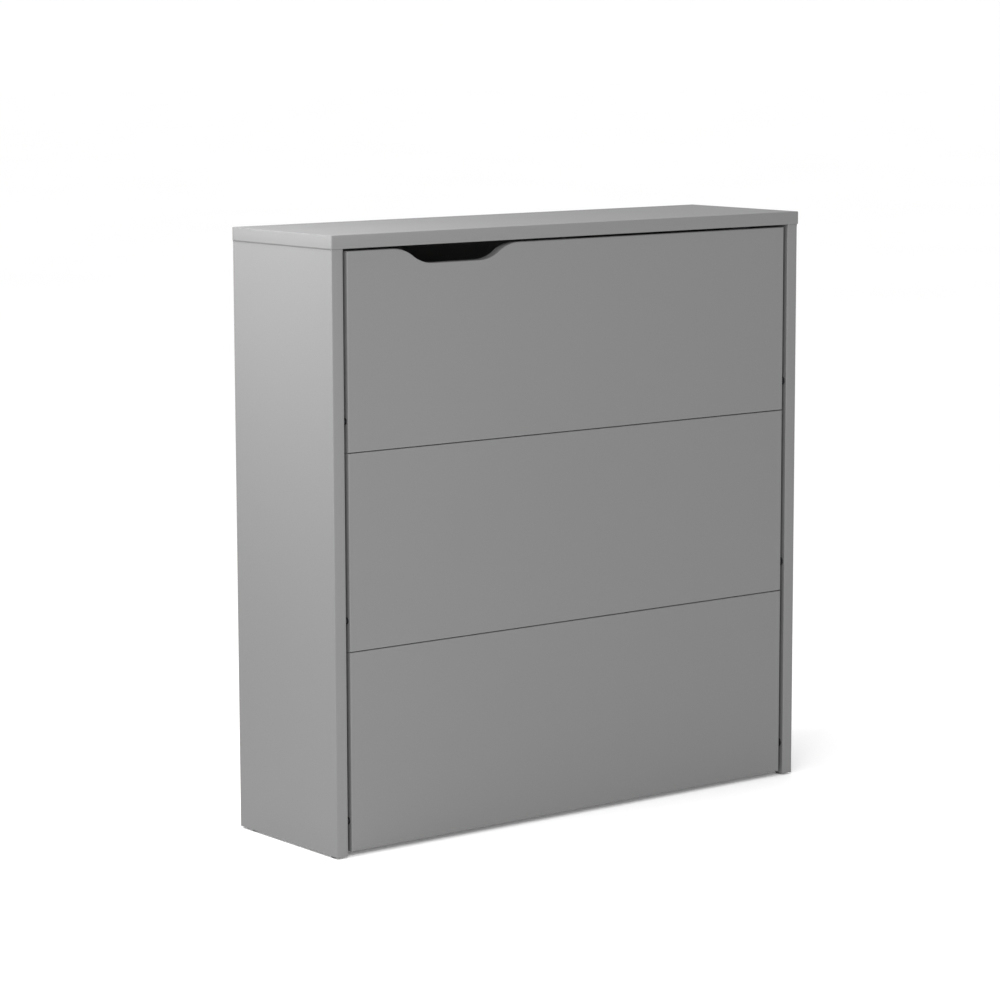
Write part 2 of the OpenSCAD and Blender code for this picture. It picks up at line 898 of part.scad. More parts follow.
module strike_plate(k) {
    w = k == TOP ? catch_strike_w : latch_strike_w;
    x = k == TOP ? catch_x : 0;
    color(zinc)
        at_flap(k)
            difference() {
                box([x - w / 2, bin_front, strike_z(k) - strike_half_h],
                    [x + w / 2, bin_front + strike_t, strike_z(k) + strike_half_h]);
                at_strike_screws(k) screw(strike_screw_l + 0.5, play = hole_play);
            }
}

top_panel();
side_panel(-1);  // side_panel_left
side_panel(1);  // side_panel_right
base_panel();
rail(MIDDLE);  // rail_upper
rail(BOTTOM);  // rail_lower
rear_rail();
back_panel_upper();
back_panel_lower();
back_joining_strip();
back_screws();
glides();
pivot_bushes();
stop_pins();
stop_sleeves();
cam_locks();
cam_bolts();
dowels();
catch_housing();
catch_magnet();
latch_housing(MIDDLE);  // latch_housing_middle
latch_housing(BOTTOM);  // latch_housing_bottom
latch_plunger(MIDDLE);  // latch_plunger_middle
latch_plunger(BOTTOM);  // latch_plunger_bottom
latch_springs();
fitting_screws();
flap_panel(TOP);  // flap_panel_top
bin_side(TOP, -1);  // bin_side_left_top
bin_side(TOP, 1);  // bin_side_right_top
bin_floor(TOP);  // bin_floor_top
bin_divider(TOP);  // bin_divider_top
bin_rear_lip(TOP);  // bin_rear_lip_top
pivot_pins(TOP);  // pivot_pins_top
flap_brackets(TOP);  // flap_brackets_top
flap_screws(TOP);  // flap_screws_top
bin_screws(TOP);  // bin_screws_top
strike_plate(TOP);  // strike_plate_top
flap_panel(MIDDLE);  // flap_panel_middle
bin_side(MIDDLE, -1);  // bin_side_left_middle
bin_side(MIDDLE, 1);  // bin_side_right_middle
bin_floor(MIDDLE);  // bin_floor_middle
bin_divider(MIDDLE);  // bin_divider_middle
bin_rear_lip(MIDDLE);  // bin_rear_lip_middle
pivot_pins(MIDDLE);  // pivot_pins_middle
flap_brackets(MIDDLE);  // flap_brackets_middle
flap_screws(MIDDLE);  // flap_screws_middle
bin_screws(MIDDLE);  // bin_screws_middle
strike_plate(MIDDLE);  // strike_plate_middle
flap_panel(BOTTOM);  // flap_panel_bottom
bin_side(BOTTOM, -1);  // bin_side_left_bottom
bin_side(BOTTOM, 1);  // bin_side_right_bottom
bin_floor(BOTTOM);  // bin_floor_bottom
bin_divider(BOTTOM);  // bin_divider_bottom
bin_rear_lip(BOTTOM);  // bin_rear_lip_bottom
pivot_pins(BOTTOM);  // pivot_pins_bottom
flap_brackets(BOTTOM);  // flap_brackets_bottom
flap_screws(BOTTOM);  // flap_screws_bottom
bin_screws(BOTTOM);  // bin_screws_bottom
strike_plate(BOTTOM);  // strike_plate_bottom
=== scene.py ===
# %% [markdown]
# # A shoe cabinet with tip-out flaps
# The cabinet is a slim box of lacquered board. Its front is three flaps, and each flap carries a bin for shoes.
# This lesson starts from the working model, which fixes every size and joint, and builds the surfaces that
# people see around it. We never move or stretch the working parts: we only give them finishes, or put a more
# detailed piece in the place of a plain one.

# %% Load the frame
import json
import math

import bpy
import numpy as np
from mathutils.geometry import tessellate_polygon
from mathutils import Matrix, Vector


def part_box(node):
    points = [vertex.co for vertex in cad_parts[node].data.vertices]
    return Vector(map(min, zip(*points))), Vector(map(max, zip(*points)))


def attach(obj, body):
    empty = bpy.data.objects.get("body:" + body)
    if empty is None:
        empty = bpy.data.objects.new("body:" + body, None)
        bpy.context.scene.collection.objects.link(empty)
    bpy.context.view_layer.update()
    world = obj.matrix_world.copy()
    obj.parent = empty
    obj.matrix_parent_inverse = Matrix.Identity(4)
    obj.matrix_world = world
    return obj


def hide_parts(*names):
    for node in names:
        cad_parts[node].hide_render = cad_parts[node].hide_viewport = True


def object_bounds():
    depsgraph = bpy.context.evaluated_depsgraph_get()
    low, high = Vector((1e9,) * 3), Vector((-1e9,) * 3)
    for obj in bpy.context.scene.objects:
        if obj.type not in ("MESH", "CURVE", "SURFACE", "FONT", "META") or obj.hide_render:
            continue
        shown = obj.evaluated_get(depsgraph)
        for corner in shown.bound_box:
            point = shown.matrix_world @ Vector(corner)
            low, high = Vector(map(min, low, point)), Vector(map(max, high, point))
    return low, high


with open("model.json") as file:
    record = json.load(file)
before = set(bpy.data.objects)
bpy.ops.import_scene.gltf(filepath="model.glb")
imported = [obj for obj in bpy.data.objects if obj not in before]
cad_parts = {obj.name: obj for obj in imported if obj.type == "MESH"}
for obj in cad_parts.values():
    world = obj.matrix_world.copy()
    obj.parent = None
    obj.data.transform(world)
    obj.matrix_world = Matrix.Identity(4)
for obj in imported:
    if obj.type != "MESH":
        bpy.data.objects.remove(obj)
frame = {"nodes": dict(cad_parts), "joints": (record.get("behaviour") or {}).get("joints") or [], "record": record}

cad_low, cad_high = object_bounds()
cabinet_size = np.array(cad_high) - np.array(cad_low)
print("working parts:", len(frame["nodes"]), "size in metres:", cabinet_size.round(3))

# %% [markdown]
# ## The camera
# A catalogue view of furniture is taken from far away with a long lens, so that the box keeps its shape.
# We stand left of the cabinet at the height of a person's chest, look a little down, and turn until the
# cabinet sits in the middle. A camera looks along its own -Z, so pitch is measured from straight down.

# %% Place the camera
CAMERA_PLACE = (-3.5022, -4.4144, 1.3437)
HEADING = math.radians(37.989)
LOOK_DOWN = math.radians(8.292)
ROLL = math.radians(-0.134)
LENS_MM = 120.47

camera_data = bpy.data.cameras.new("camera")
camera_data.lens = LENS_MM
camera_data.sensor_width = 36.0
camera = bpy.data.objects.new("camera", camera_data)
bpy.context.scene.collection.objects.link(camera)
camera.location = CAMERA_PLACE
camera.rotation_mode = "XYZ"
camera.rotation_euler = (math.pi / 2 - LOOK_DOWN, 0.0, -HEADING)
camera.rotation_euler.rotate_axis("Z", ROLL)
bpy.context.scene.camera = camera
print("camera stands", round(math.hypot(*CAMERA_PLACE[:2]), 2), "m away")

# %% [markdown]
# ## Grids
# Nearly every surface here is a grid of points: rows one way, columns the other. If the columns close into a
# ring, the grid is a tube; if the rows close as well, it is a ring like a tyre. One helper numbers the four
# corners of each cell, always in the same turning sense, so that every face points outwards.

# %% Cells of a grid
def grid_faces(rows, columns, wrap=False, wrap_rows=False):
    """Four-cornered cells of rows by columns points numbered row after row; wrap joins the last to the first."""
    i = np.arange(rows if wrap_rows else rows - 1)[:, None]
    j = np.arange(columns if wrap else columns - 1)[None, :]
    above, beside = (i + 1) % rows, (j + 1) % columns
    cells = [i * columns + j, i * columns + beside, above * columns + beside, above * columns + j]
    return np.stack(cells, axis=-1).reshape(-1, 4)


print("a tube of 3 by 8 points has", len(grid_faces(3, 8, wrap=True)), "cells")

# %% [markdown]
# ## The studio
# The floor is one wide round sheet, pale and plain. Far away it rises into a low rim, as studio paper does.
# The rim covers the little that our camera sees above the floor's far edge. A camera near the floor that looks
# up would see over it. The sheet is a grid of rings; the innermost one is a dot under the cabinet.

# %% Floor
RIM_RADII = (60.0, 58.0, 12.0, 3.0, 0.6, 0.001)
RIM_HEIGHT = 3.0


def floor_sheet(radii, segments):
    """Ring k of the grid is the circle of radius radii[k] in the plane z = 0; only the first one is raised."""
    angle = np.arange(segments) * 2 * math.pi / segments
    x, y = np.outer(radii, np.cos(angle)), np.outer(radii, np.sin(angle))
    z = np.zeros_like(x)
    z[0] = RIM_HEIGHT
    return np.stack([x, y, z], axis=-1).reshape(-1, 3), grid_faces(len(radii), segments, wrap=True)


floor_points, floor_faces = floor_sheet(np.array(RIM_RADII), 64)
floor_mesh = bpy.data.meshes.new("floor")
floor_mesh.from_pydata(floor_points.tolist(), [], floor_faces.tolist())
floor = bpy.data.objects.new("floor", floor_mesh)
bpy.context.scene.collection.objects.link(floor)
print("floor:", len(floor_points), "points")

# %% [markdown]
# ## The light
# A white room lights the cabinet evenly. One soft light hangs close on the left, above the side panel, so that
# it brightens the side and the left of the top, most of all near itself, and hardly touches the front. Two
# broader lights stand further off, left in front, one high and one low. They make the front a little brighter
# on that side. A weak, narrow one makes a faint pool on the upper half of the side panel.

# %% Lights
SMALL_LAMP, LARGE_LAMP = 0.5, 1.2
ROOM_LIGHT = 0.95


def soft_light(name, place, target, size, watts):
    """A square lamp at place that faces target."""
    data = bpy.data.lights.new(name, "AREA")
    data.shape = "RECTANGLE"
    data.size, data.size_y, data.energy = size, size, watts
    lamp = bpy.data.objects.new(name, data)
    bpy.context.scene.collection.objects.link(lamp)
    lamp.location = place
    aim = np.array(target, float) - np.array(place, float)
    lamp.rotation_euler = (
        math.atan2(math.hypot(aim[0], aim[1]), -aim[2]), 0.0, math.atan2(aim[1], aim[0]) - math.pi / 2)
    return lamp


soft_light("near_left", (-1.0, 0.0, 1.7), (-0.3, 0.0, 0.8), SMALL_LAMP, 18.0)
soft_light("high_front", (-2.0, -2.5, 2.2), (0.0, 0.0, 0.7), LARGE_LAMP, 37.0)
soft_light("low_front", (-2.6, -1.8, 1.2), (0.0, 0.0, 0.6), LARGE_LAMP, 29.0)
side_pool = soft_light("side_pool", (-1.9, 0.45, 1.2), (-0.495, 0.05, 0.9), SMALL_LAMP, 1.1)
side_pool.data.spread = math.radians(50)

world = bpy.data.worlds.new("surroundings")
bpy.context.scene.world = world
world.use_nodes = True
world.node_tree.nodes["Background"].inputs["Color"].default_value = (1.0, 1.0, 1.0, 1.0)
world.node_tree.nodes["Background"].inputs["Strength"].default_value = ROOM_LIGHT
bpy.context.scene.view_settings.view_transform = "Standard"

# %% [markdown]
# ## A small language for finishes
# A finish is a graph of nodes. Written node by node it is long and hard to read, so we wrap a node's output in
# a class that understands Python's own arithmetic: `1 - mask * 0.3` then adds the Math nodes for us.
# Everything that isn't plain arithmetic comes from one method, which takes the node's type, its settings and
# what goes into its sockets.

# %% Sockets with arithmetic
class Wire:
    """The output of a node. Arithmetic on wires and numbers adds Math nodes."""

    def __init__(self, finish, socket):
        self.finish = finish
        self.socket = socket

    def _math(self, operation, first, second):
        return self.finish.node("ShaderNodeMath", {0: first, 1: second}, operation=operation)

    def __add__(self, other):
        return self._math("ADD", self, other)

    def __radd__(self, other):
        return self._math("ADD", other, self)

    def __sub__(self, other):
        return self._math("SUBTRACT", self, other)

    def __rsub__(self, other):
        return self._math("SUBTRACT", other, self)

    def __mul__(self, other):
        return self._math("MULTIPLY", self, other)

    def __rmul__(self, other):
        return self._math("MULTIPLY", other, self)


class Finish:
    """A material whose surface is one Principled BSDF. Constants are set on its own sockets."""

    def __init__(self, name, **constants):
        self.material = bpy.data.materials.new(name)
        self.material.use_nodes = True
        self.tree = self.material.node_tree
        self.surface = self.tree.nodes["Principled BSDF"]
        for socket, value in constants.items():
            self.surface.inputs[socket.replace("_", " ")].default_value = value
        self.place = self.node("ShaderNodeTexCoord", output="Object")

    def node(self, kind, sockets=None, output=0, **settings):
        """Adds a node: settings first (a ramp's stops are positions and colours), then values or wires."""
        made = self.tree.nodes.new(kind)
        stops = settings.pop("stops", None)
        for key, value in settings.items():
            setattr(made, key, value)
        if stops:
            ramp = made.color_ramp
            while len(ramp.elements) < len(stops):
                ramp.elements.new(1.0)
            for element, (position, colour) in zip(ramp.elements, stops):
                element.position = position
                element.color = (*colour, 1.0)
        for key, value in (sockets or {}).items():
            if isinstance(value, Wire):
                self.tree.links.new(value.socket, made.inputs[key])
            else:
                made.inputs[key].default_value = value
        return Wire(self, made.outputs[output])

    def noise(self, scale, detail=2.0, stretch=(1.0, 1.0, 1.0), roughness=0.5):
        """Smooth noise from 0 to 1, about scale cells a metre; stretch above 1 squeezes it along that axis."""
        place = self.node("ShaderNodeMapping", {"Vector": self.place, "Scale": stretch})
        return self.node("ShaderNodeTexNoise", {
            "Vector": place, "Scale": scale, "Detail": detail, "Roughness": roughness})

    def blend(self, share, first, second):
        """The colour first where share is 0 and second where it is 1."""
        return self.node("ShaderNodeMix", {
            0: share, 6: (*first, 1.0) if isinstance(first, tuple) else first,
            7: (*second, 1.0) if isinstance(second, tuple) else second}, output=2, data_type="RGBA")

    def feed(self, **wires):
        """Links wires to the surface's sockets."""
        for socket, wire in wires.items():
            self.tree.links.new(wire.socket, self.surface.inputs[socket.replace("_", " ")])
        return self

    def relief(self, height, depth):
        """Bump from a height that runs from 0 to 1, with depth in metres."""
        bump = self.node("ShaderNodeBump", {"Height": height, "Distance": depth, "Strength": 1.0})
        return self.feed(Normal=bump)


print("the surface has", len(Finish("scratch").surface.inputs), "sockets")
bpy.data.materials.remove(bpy.data.materials["scratch"])

# %% [markdown]
# ## Lacquer
# The visible boards are fibreboard sprayed with satin grey lacquer. Up close a sprayed coat has "orange peel",
# a soft ripple of a millimetre or two that breaks up reflections, and its sheen varies a little from pass to
# pass. Two noises do that: a fine one for the ripple, and a broad one for the sheen and a trace of tone. Where
# an edge is eased the spray lies thinner and is rubbed smoother, which the number called trim marks. There the
# grey is also painted lighter: a painted highlight for the light that an eased edge catches.

# %% Lacquer finish
LACQUER_GREY = 0.143


def lacquer_finish():
    """Satin lacquer: tone and sheen follow a broad noise, the ripple a fine one; edges are a bit smoother, with a
    painted highlight.
    """
    finish = Finish("grey_lacquer", Specular_IOR_Level=0.4)
    broad = finish.noise(2.3, detail=3.0)
    ripple = finish.noise(620.0, detail=1.0)
    edge = finish.node("ShaderNodeAttribute", output="Fac", attribute_name="trim")
    dark, light = LACQUER_GREY * 0.98, LACQUER_GREY * 1.02
    tone = finish.blend(broad, (dark, dark, dark), (light, light, light * 1.006))
    # painted highlight: the eased edges are painted a lighter grey, as if they caught the light
    edge_highlight = finish.blend(edge * 0.35, tone, (LACQUER_GREY * 1.12,) * 3)
    roughness = 0.46 + broad * 0.07 - edge * 0.05
    return finish.feed(Base_Color=edge_highlight, Roughness=roughness).relief(ripple, 0.00002).material


lacquer = lacquer_finish()
print("made", lacquer.name)

# %% [markdown]
# ## Melamine board
# Inside, the boards are chipboard faced with matt grey melamine paper and edged with a thin plastic band. The
# paper has a fine pearl texture. The band is smoother, and a hairline of glue shows where it meets the face:
# trim passes one half exactly there, so a ramp with a narrow dip draws that line.

# %% Melamine finish
def melamine_finish():
    """Matt facing with a pearl texture; the band on the edges is smoother, with a dark hairline at its joint."""
    finish = Finish("grey_melamine", Specular_IOR_Level=0.35)
    edge = finish.node("ShaderNodeAttribute", output="Fac", attribute_name="trim")
    speckle = finish.noise(260.0, detail=3.0, roughness=0.7)
    cloud = finish.noise(6.0, detail=2.0)
    pearl = finish.node("ShaderNodeTexVoronoi", {"Vector": finish.place, "Scale": 900.0}, output="Distance")
    face = finish.blend(speckle, (0.165, 0.165, 0.168), (0.195, 0.195, 0.197))
    face = finish.blend(cloud * 0.25, face, (0.17, 0.17, 0.173))
    banded = finish.blend(edge, face, (0.168, 0.169, 0.172))
    glue = finish.node("ShaderNodeValToRGB", {"Fac": edge}, stops=[
        (0.2, (1, 1, 1)), (0.5, (0.45, 0.45, 0.45)), (0.8, (1, 1, 1))])
    tone = finish.node("ShaderNodeMix", {0: 1.0, 6: banded, 7: glue}, output=2, data_type="RGBA",
                       blend_type="MULTIPLY")
    roughness = 0.62 + speckle * 0.08 - edge * 0.16
    return finish.feed(Base_Color=tone, Roughness=roughness).relief(pearl * (1 - edge), 0.00006).material


melamine = melamine_finish()
print("made", melamine.name)

# %% [markdown]
# ## Fibreboard
# The back is thin hard fibreboard. Its front carries grey foil and its rear is bare: brown pressed wood fibres
# under a woven mesh mark. Trim is 0 on the front and 1 on the edges and the rear, so one finish serves both.

# %% Fibreboard finish
def fibreboard_finish():
    """Grey foil where trim is 0. Where it is 1: brown fibres of two lengths over the press's mesh mark."""
    finish = Finish("fibreboard_back", Specular_IOR_Level=0.25)
    rear = finish.node("ShaderNodeAttribute", output="Fac", attribute_name="trim")
    fibres = finish.noise(180.0, detail=5.0, stretch=(1.0, 1.0, 0.25), roughness=0.7)
    shreds = finish.noise(520.0, detail=4.0, stretch=(0.3, 1.0, 1.0), roughness=0.75)
    flakes = finish.noise(14.0, detail=2.0)
    weave_x = finish.node("ShaderNodeTexWave", {"Vector": finish.place, "Scale": 160.0}, output="Fac",
                          bands_direction="X")
    weave_z = finish.node("ShaderNodeTexWave", {"Vector": finish.place, "Scale": 160.0}, output="Fac",
                          bands_direction="Z")
    brown = finish.blend(fibres, (0.20, 0.115, 0.06), (0.37, 0.235, 0.135))
    brown = finish.blend(shreds * 0.4, brown, (0.30, 0.19, 0.105))
    brown = finish.blend(flakes * 0.3, brown, (0.24, 0.145, 0.08))
    tone = finish.blend(rear, (0.18, 0.18, 0.184), brown)
    relief = (fibres * 0.5 + weave_x * weave_z * 0.5) * rear
    return finish.feed(Base_Color=tone, Roughness=0.55 + rear * 0.3).relief(relief, 0.00025).material


fibreboard = fibreboard_finish()
print("made", fibreboard.name)

# %% [markdown]
# ## Metals
# Screws, pins, brackets and plates are steel with bright zinc plating: a cool, cloudy grey metal with fine
# rolling marks. The cam locks are die-cast zinc, which is duller and grainier. The magnet sits between plates
# of darker steel. Pivot pins and strike plates are zinc-plated as well, but are shown in near-black metal: painted
# shade, so that they keep the gaps dark and do not glint there.
# One function makes all four metals from a few numbers.

# %% Metal finishes
def metal_finish(name, dark, light, roughness, cloud_size, grain_depth, stretch=(1.0, 1.0, 1.0)):
    """Metal whose tone and roughness follow clouds of the given size, with a fine grain as bump."""
    finish = Finish(name, Metallic=1.0)
    clouds = finish.noise(cloud_size, detail=4.0, roughness=0.6)
    grain = finish.noise(1500.0, detail=2.0, stretch=stretch)
    tone = finish.blend(clouds, dark, light)
    return finish.feed(Base_Color=tone, Roughness=roughness + clouds * 0.12).relief(grain, grain_depth).material


plated_steel = metal_finish("zinc_plated_steel", (0.50, 0.52, 0.55), (0.66, 0.68, 0.71), 0.26, 90.0, 0.00001,
                            stretch=(1.0, 1.0, 0.08))
cast_zinc = metal_finish("die_cast_zinc", (0.36, 0.36, 0.38), (0.50, 0.50, 0.52), 0.42, 220.0, 0.00004)
pole_steel = metal_finish("pole_plates", (0.20, 0.20, 0.22), (0.34, 0.34, 0.36), 0.35, 150.0, 0.00002)
# painted shade: near-black metal for the zinc-plated pivot pins and strike plates, so the gaps stay dark without
# glint
gap_shade_steel = metal_finish("black_painted_shade_steel", (0.035, 0.035, 0.04), (0.07, 0.07, 0.075), 0.4, 120.0,
                           0.00002)
print("made", plated_steel.name, cast_zinc.name, pole_steel.name, gap_shade_steel.name)

# %% [markdown]
# ## Plastics and beech
# The housings, glides and bushes are moulded in dark plastic from a tool with a fine spark-eroded grain. The
# rollers, plungers and joining strip are natural nylon, milky and a little waxy. The dowels are fluted beech,
# with grain along their length.

# %% Plastic finishes
def plastic_finish(name, dark, light, roughness, grain_depth):
    """Moulded plastic: slightly uneven tone, and the grain of the mould as bump and as a variation in sheen."""
    finish = Finish(name, Specular_IOR_Level=0.45)
    uneven = finish.noise(35.0, detail=3.0)
    spark = finish.node("ShaderNodeTexVoronoi", {"Vector": finish.place, "Scale": 1800.0}, output="Distance")
    tone = finish.blend(uneven, dark, light)
    return finish.feed(Base_Color=tone, Roughness=roughness + spark * 0.1).relief(spark, grain_depth).material


dark_plastic = plastic_finish("dark_moulded_plastic", (0.018, 0.018, 0.02), (0.03, 0.03, 0.032), 0.42, 0.00004)
nylon = plastic_finish("natural_nylon", (0.62, 0.61, 0.56), (0.74, 0.73, 0.69), 0.36, 0.00002)


def beech_finish():
    """Pale wood whose rings are stretched along X, with the short dark flecks that beech has."""
    finish = Finish("fluted_beech", Specular_IOR_Level=0.3)
    grain = finish.noise(240.0, detail=4.0, stretch=(0.06, 1.0, 1.0), roughness=0.6)
    flecks = finish.noise(900.0, detail=1.0, stretch=(0.12, 1.0, 1.0))
    dark_flecks = finish.node("ShaderNodeValToRGB", {"Fac": flecks}, stops=[(0.62, (0, 0, 0)), (0.7, (1, 1, 1))])
    tone = finish.blend(grain, (0.46, 0.29, 0.16), (0.64, 0.45, 0.28))
    flecked = finish.blend(dark_flecks, tone, (0.33, 0.19, 0.10))
    return finish.feed(Base_Color=flecked, Roughness=0.6 + grain * 0.15).relief(grain, 0.00008).material


beech = beech_finish()
print("made", dark_plastic.name, nylon.name, beech.name)

# %% [markdown]
# ## Floor finish
# The floor is matt white paper with a trace of texture, so that the cabinet's soft shadow has something to
# lie on. It glows very faintly, which lifts the bare paper to full white and leaves the shadow visible.

# %% Paper on the floor
PAPER_GLOW = 0.14


def paper_finish():
    """Matt white with a slow, hardly visible change of tone."""
    finish = Finish("white_paper", Specular_IOR_Level=0.1, Emission_Strength=PAPER_GLOW)
    slow = finish.noise(0.8, detail=1.0)
    tone = finish.blend(slow, (0.9, 0.9, 0.9), (0.93, 0.93, 0.93))
    return finish.feed(Base_Color=tone, Emission_Color=tone, Roughness=0.9 + slow * 0.05).material


floor.data.materials.append(paper_finish())
print("the floor glows with strength", PAPER_GLOW)

# %% [markdown]
# ## Which finish goes where
# The record that comes with the working model names a kind of material for each part. A small table turns that
# name into a finish, so every part gets the right one, also those that we leave as they are. Pivot pins and
# strike plates are the exception: the record calls them zinc-plated, and we show them near-black as painted
# shade, so that the gaps stay dark.

# %% Give every working part its finish
FINISH_OF = {
    "lacquer": lacquer, "melamine": melamine, "fibreboard": fibreboard, "zinc_steel": plated_steel,
    "zinc_cast": cast_zinc, "magnet": pole_steel, "nylon": nylon, "dark_plastic": dark_plastic, "beech": beech}
BLACK_PARTS = ("pivot_pins", "strike_plate")
slot_of = {part["node"]: part["material_slot"] for part in frame["record"]["subparts"]}
body_of = {node: body for body, nodes in frame["record"]["behaviour"]["bodies"].items() for node in nodes}
finish_of = {node: FINISH_OF[slot] for node, slot in slot_of.items()}
finish_of.update({node: gap_shade_steel for node in slot_of if node.startswith(BLACK_PARTS)})
for node, part in frame["nodes"].items():
    part.data.materials.clear()
    part.data.materials.append(finish_of[node])
print("finishes given to", len(frame["nodes"]), "parts")

# %% [markdown]
# ## Shapes
# A shape is a set of points, the faces between them, and the number called trim for each point. Shapes can be
# added up, mirrored, and stood on any axis. When a shape is shown, we first work out its volume from its
# faces: if that is negative, the shape is inside out, and the lesson stops there.

# %% The Shape class
class Shape:
    """Points, groups of faces with equally many corners, and trim for each point."""

    def __init__(self, points, faces, trim=None):
        self.points = np.asarray(points, float).reshape(-1, 3)
        self.faces = [np.asarray(group, int) for group in faces if len(group)]
        self.trim = np.zeros(len(self.points)) if trim is None else np.asarray(trim, float)

    def __add__(self, other):
        moved = [group + len(self.points) for group in other.faces]
        return Shape(np.vstack([self.points, other.points]), self.faces + moved, np.r_[self.trim, other.trim])

    def mirrored(self, axis=0):
        """The shape's mirror image through the middle plane of an axis; its faces turn round to stay outside."""
        points = self.points.copy()
        points[:, axis] *= -1
        return Shape(points, [group[:, ::-1] for group in self.faces], self.trim)

    def stood(self, axis, sign, origin):
        """The shape's third axis is laid along the given axis, and its own origin goes to origin."""
        second, third = ((axis + 1) % 3, (axis + 2) % 3) if sign > 0 else ((axis + 2) % 3, (axis + 1) % 3)
        points = np.empty_like(self.points)
        points[:, second], points[:, third] = self.points[:, 0], self.points[:, 1]
        points[:, axis] = sign * self.points[:, 2]
        return Shape(points + np.asarray(origin, float), self.faces, self.trim)

    def volume(self):
        """Sum over fans of triangles of a . (b x c) / 6, which is positive if the faces point outwards."""
        total = 0.0
        for group in self.faces:
            for k in range(1, group.shape[1] - 1):
                a, b, c = (self.points[group[:, i]] for i in (0, k, k + 1))
                total += np.einsum("ij,ij->", a, np.cross(b, c)) / 6
        return total


def joined(shapes):
    """Several shapes as one, in the order given."""
    first, *others = shapes
    return sum(others, first)


def bounds_of(node):
    """The lowest and highest corner of a working part, as arrays."""
    low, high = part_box(node)
    return np.array(low), np.array(high)


shown = {}


def show(node, shape, crease=32.0):
    """Puts the shape in the place of a working part, with that part's body and finish."""
    if shape.volume() <= 0:
        raise ValueError(f"{node} is inside out")
    mesh = bpy.data.meshes.new(node + "_surface")
    mesh.from_pydata(shape.points.tolist(), [], [face for group in shape.faces for face in group.tolist()])
    mesh.attributes.new("trim", "FLOAT", "POINT").data.foreach_set("value", shape.trim.astype(np.float32))
    mesh.shade_smooth()
    mesh.set_sharp_from_angle(angle=math.radians(crease))
    mesh.materials.append(finish_of[node])
    made = bpy.data.objects.new(node + "_surface", mesh)
    bpy.context.scene.collection.objects.link(made)
    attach(made, body_of[node])
    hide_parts(node)
    shown[node] = sum(len(group) * (group.shape[1] - 2) for group in shape.faces)
    return made


print("shapes can be shown")

# %% [markdown]
# ## Outlines
# A board is cut to an outline and its edges are then eased, that is, rounded a little by sanding. To ease an
# edge we need to know which way is inwards at each corner of the outline. The mitre direction does that: moving
# each corner by d times its mitre moves each side inwards by exactly d.

# %% Outlines and mitres
def arc(u, v, radius, start, end, steps):
    """Points on a circle about (u, v), from angle start to angle end in degrees."""
    angle = np.radians(np.linspace(start, end, steps + 1))
    return np.stack([u + radius * np.cos(angle), v + radius * np.sin(angle)], axis=1)


def rounded_rectangle(low, high, radius, steps=5):
    """Counterclockwise rectangle whose corners are quarter circles."""
    (u0, v0), (u1, v1), r = low, high, radius
    return np.vstack([
        arc(u0 + r, v0 + r, r, 180, 270, steps), arc(u1 - r, v0 + r, r, 270, 360, steps),
        arc(u1 - r, v1 - r, r, 0, 90, steps), arc(u0 + r, v1 - r, r, 90, 180, steps)])


def mitres(outline):
    """(n1 + n2) / (1 + n1 . n2) with n1 and n2 the inward normals of the sides before and after each corner."""
    along = np.roll(outline, -1, axis=0) - outline
    along /= np.linalg.norm(along, axis=1, keepdims=True)
    inward = np.stack([-along[:, 1], along[:, 0]], axis=1)
    before = np.roll(inward, 1, axis=0)
    return (inward + before) / (1 + np.sum(inward * before, axis=1, keepdims=True))


print("mitre at a square's first corner:", mitres(np.array([[0.0, 0], [1, 0], [1, 1], [0, 1]]))[0])

# %% [markdown]
# ## Boards
# A board is a stack of rings between its two faces. The rings at each end follow a quarter circle, which is the
# eased edge, and one more ring lies a hair inside each face, where the edge finish ends. The faces close the
# stack. They may have holes: a loop inside the outline, whose wall goes through to the other face.

# %% The board function
SEAM = 0.0002


def eased_rings(thickness, ease_low, ease_high, steps=4):
    """Pairs of inset and height. At angle t of an eased edge, inset is r(1 - sin t) and height r(1 - cos t)."""
    t = np.linspace(0.0, math.pi / 2, steps + 1)
    low = np.stack([ease_low * (1 - np.sin(t)), ease_low * (1 - np.cos(t))], axis=1)
    high = np.stack([ease_high * (1 - np.sin(t)), thickness - ease_high * (1 - np.cos(t))], axis=1)[::-1]
    return np.vstack([[ease_low + SEAM, 0.0], low, high, [ease_high + SEAM, thickness]])


def shoelace(loop):
    """Area inside a loop: half the sum of u1 v2 - u2 v1 over its sides."""
    ahead = np.roll(loop, -1, axis=0)
    return (loop[:, 0] * ahead[:, 1] - ahead[:, 0] * loop[:, 1]).sum() / 2


def flat_face(loops, upwards):
    """Triangles that fill an outline with holes. Each one is turned so that the face looks the given way."""
    flat = np.vstack(loops)
    triangles = np.array(tessellate_polygon([[(u, v, 0.0) for u, v in loop] for loop in loops]))
    a, b, c = (flat[triangles[:, i]] for i in range(3))
    area = (b[:, 0] - a[:, 0]) * (c[:, 1] - a[:, 1]) - (b[:, 1] - a[:, 1]) * (c[:, 0] - a[:, 0])
    whole = sum(sign * shoelace(loop) for sign, loop in zip([1] + [-1] * (len(loops) - 1), loops))
    if abs(np.abs(area).sum() / 2 - whole) > 1e-6 * whole:
        raise ValueError("the triangles do not cover the face exactly once")
    turned = (area > 0) != upwards
    triangles[turned] = triangles[turned][:, ::-1]
    return triangles[np.abs(area) > 1e-14]


